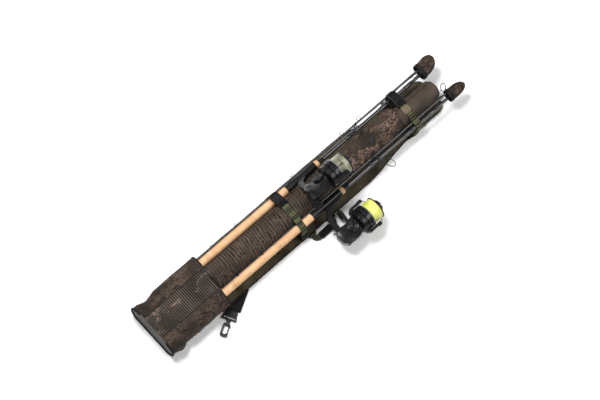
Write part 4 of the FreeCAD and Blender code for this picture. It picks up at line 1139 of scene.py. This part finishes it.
def flat_band(name, path, width, thickness, ladder=True):
    """Webbing lying flat along a path, its width level."""
    path, tangents, _ = frames_along(path)
    across = [Vector((0, 0, 1)).cross(t).normalized() for t in tangents]
    return webbing(name, [(p, (0, 0, 1)) for p in path], width, thickness, across, ladder)


def rounded_path(corners, radius, step=0.002):
    """A smooth line through corners, each turned on an arc-like curve."""
    corners = [Vector(c) for c in corners]
    line = [corners[0]]
    for a, b, c in zip(corners, corners[1:], corners[2:]):
        into, away = (a - b), (c - b)
        reach = min(radius, into.length * 0.49, away.length * 0.49)
        start, end = b + into.normalized() * reach, b + away.normalized() * reach
        for t in np.linspace(0, 1, 14):
            line.append(start * (1 - t) ** 2 + b * (2 * t * (1 - t)) + end * t * t)
    line.append(corners[-1])
    dense = []
    for a, b in zip(line, line[1:]):
        count = max(1, int((b - a).length / step))
        dense += [a + (b - a) * (k / count) for k in range(count)]
    return [*dense, line[-1]]


def carry_handle():
    first, last = at(HANDLE["start"]), at(HANDLE["end"])
    reach, bar, high = -HANDLE["reach"], -HANDLE["bar"], HANDLE["high"]
    corners = [(first + 0.012, bar, high), (first + 0.014, reach + 0.011, high),
               (last - 0.014, reach + 0.011, high), (last - 0.012, bar, high)]
    piece(flat_band("carry_handle_webbing", rounded_path(corners, 0.016), 0.021, 0.0022), "olive_webbing",
          "carry_handle", "carry_handle_strap")
    for name, x in (("butt", first + 0.012), ("tip", last - 0.012)):
        knuckle = [(-0.0118, 0.0026), (-0.0118, 0.0040), (0.0118, 0.0040), (0.0118, 0.0026)]
        turn = Matrix.Translation((x, bar, high))
        piece(lathe(f"handle_knuckle_{name}", knuckle, turn, 32), "olive_webbing", "carry_handle")
    middle = ((first + last) / 2, reach + 0.0105, high)
    size = (HANDLE["end"] - HANDLE["start"] - 0.054, 0.0215, 0.0085)
    grip = rounded_box("carry_handle_padding", size, middle, 0.0030)
    puffed(grip, 0.0022, 3.0, 0.0018)
    piece(grip, "handle_padding", "carry_handle", "carry_handle_grip")
    stitches = []
    for side in (-1, 1):
        y = middle[1] + side * 0.0112
        stitches.append(tube("stitch", [(first + 0.030, y, high), (last - 0.030, y, high)], 0.0012, ring=6))
    piece(join("handle_padding_piping", stitches), "black_binding", "carry_handle")


def hook_matrix():
    place = Matrix.Translation((at(HOOK["station"]), HOOK["side"], 0))
    return place @ Matrix.Rotation(math.radians(HOOK["turn"]), 4, "Z")


def shoulder_strap():
    """The padded end of the shoulder strap, from the panel's edge seam down to the eye of its hook."""
    place, end, half = hook_matrix(), HOOK["pad"], HOOK["pad_width"] / 2
    slope = math.radians(HOOK["turn"])

    def edge_at(across):
        """How far along the strap the panel's edge is, for a place across it."""
        return (-HALF - 0.0004 - HOOK["side"] - across * math.cos(slope)) / math.sin(slope)

    rows = []
    for t in np.linspace(0, 1, 60):
        row = []
        for a in np.linspace(0, TAU, 40, endpoint=False):
            c, d = math.cos(a), math.sin(a)
            y = (half - 0.0010) * math.copysign(abs(c) ** 0.35, c)
            start = edge_at(y)
            x = start + (end - start) * t
            taper = smooth(t, -0.02, 0.05) * (1 - smooth(t, 0.965, 1.02))
            z = 0.0050 + math.copysign(abs(d) ** 0.6, d) * (0.0012 + 0.0032 * taper)
            z += 0.0009 * wobble((x, y, 0), 38.0, 31.0) * (d > 0)
            row.append(place @ Vector((x, y, max(0.0004, z))))
        rows.append(row)
    form = grid("shoulder_strap_pad", rows, closed=True, caps=True)
    pad = piece(form, "handle_padding", "case", "shoulder_pad")
    path = [place @ Vector((x, 0, 0.0042)) for x in np.linspace(end - 0.006, end + 0.0225, 40)]
    band = flat_band("shoulder_strap_webbing", path, HOOK["web"], 0.0024)
    piece(band, "black_binding", "case", "shoulder_webbing")
    for name, y in (("left", half - 0.0012), ("right", 0.0012 - half)):
        line = [place @ Vector((x, y, 0.0050)) for x in np.linspace(edge_at(y) + 0.002, end - 0.002, 40)]
        piece(tube(f"shoulder_pad_piping_{name}", line, 0.0021, ring=8), "black_binding", "case")
    hem = [place @ Vector((end - 0.002, y, 0.0050)) for y in np.linspace(0.0012 - half, half - 0.0012, 24)]
    piece(tube("shoulder_pad_hem", hem, 0.0021, ring=8), "black_binding", "case")
    for y in (-0.017, 0.017):
        line = [place @ Vector((x, y, 0.0094)) for x in np.linspace(edge_at(y) + 0.006, end - 0.006, 30)]
        name = f"shoulder_pad_stitching_{'a' if y < 0 else 'b'}"
        piece(tube(name, line, 0.0008, ring=6), "black_binding", "case")


# ---- looks that vary from their slot ----

def sleeve_camo_look(n):
    """The woodland print, with a painted highlight along the ridges of the sleeve's fine gathers."""
    surface = camo_look(n, 0.95)
    base = n.shader.inputs["Base Color"].links[0].from_socket
    normal = n.shader.inputs["Normal"].links[0].from_socket
    gathers = n.bands(0.0105, "X", 5.5, 1.1, n.mapping((1.0, 0.5, 0.5), (0, 0, 0.25)))
    near = n.ramp(n.along_case(), [(0.50, 1.0), (0.62, 0.12)])
    uneven = n.ramp(n.noise(11.0, 2.0), [(0.35, 0.35), (0.6, 1.0)])
    ridge_and_highlight = n.math("MULTIPLY", n.math("MULTIPLY", n.ramp(gathers, [(0.40, 0.0), (0.85, 1.0)]), near), uneven)
    # Painted highlight: a lighter tan mixed in along the gather ridges, where light would catch them; the
    # same mask is the ridges' bump below.
    n.link(n.mix(n.math("MULTIPLY", ridge_and_highlight, 0.60), base, (0.120, 0.090, 0.070)), n.shader.inputs["Base Color"])
    n.link(n.bump(ridge_and_highlight, 0.9, 0.0020, normal), n.shader.inputs["Normal"])
    return surface


EDGE = ("edge_binding", cloth_look, (0.012, 0.010, 0.006), (0.036, 0.031, 0.019), 0.0014)
HEM = ("camo_hem", camo_look, 0.62)
SLEEVE_CAMO = ("sleeve_camo", sleeve_camo_look)
CAP_CAMO = ("cap_camo", camo_look, 1.15, (0.985, 1.0))
SILVER = ("silver_trim", plastic_look, (0.42, 0.42, 0.44), 0.22, 700.0, 0.3)
REEL_GREY = ("reel_grey", plastic_look, (0.007, 0.007, 0.008), 0.27, 1300.0, 0.3)
DARK_TRIM = ("dark_trim", plastic_look, (0.050, 0.050, 0.054), 0.25, 700.0, 0.4)


studio()
padded_panel()
moulded_base()
butt_pocket()
storage_sleeve()
stick_bag()
straps_and_wings()
for side in ("left", "right"):
    rod_details(side)
    reel_shell(side)
    reel_spool(side)
    reel_rotor(side)
    tip_cap(side)
carry_handle()
shoulder_strap()
keep_cad_nodes()
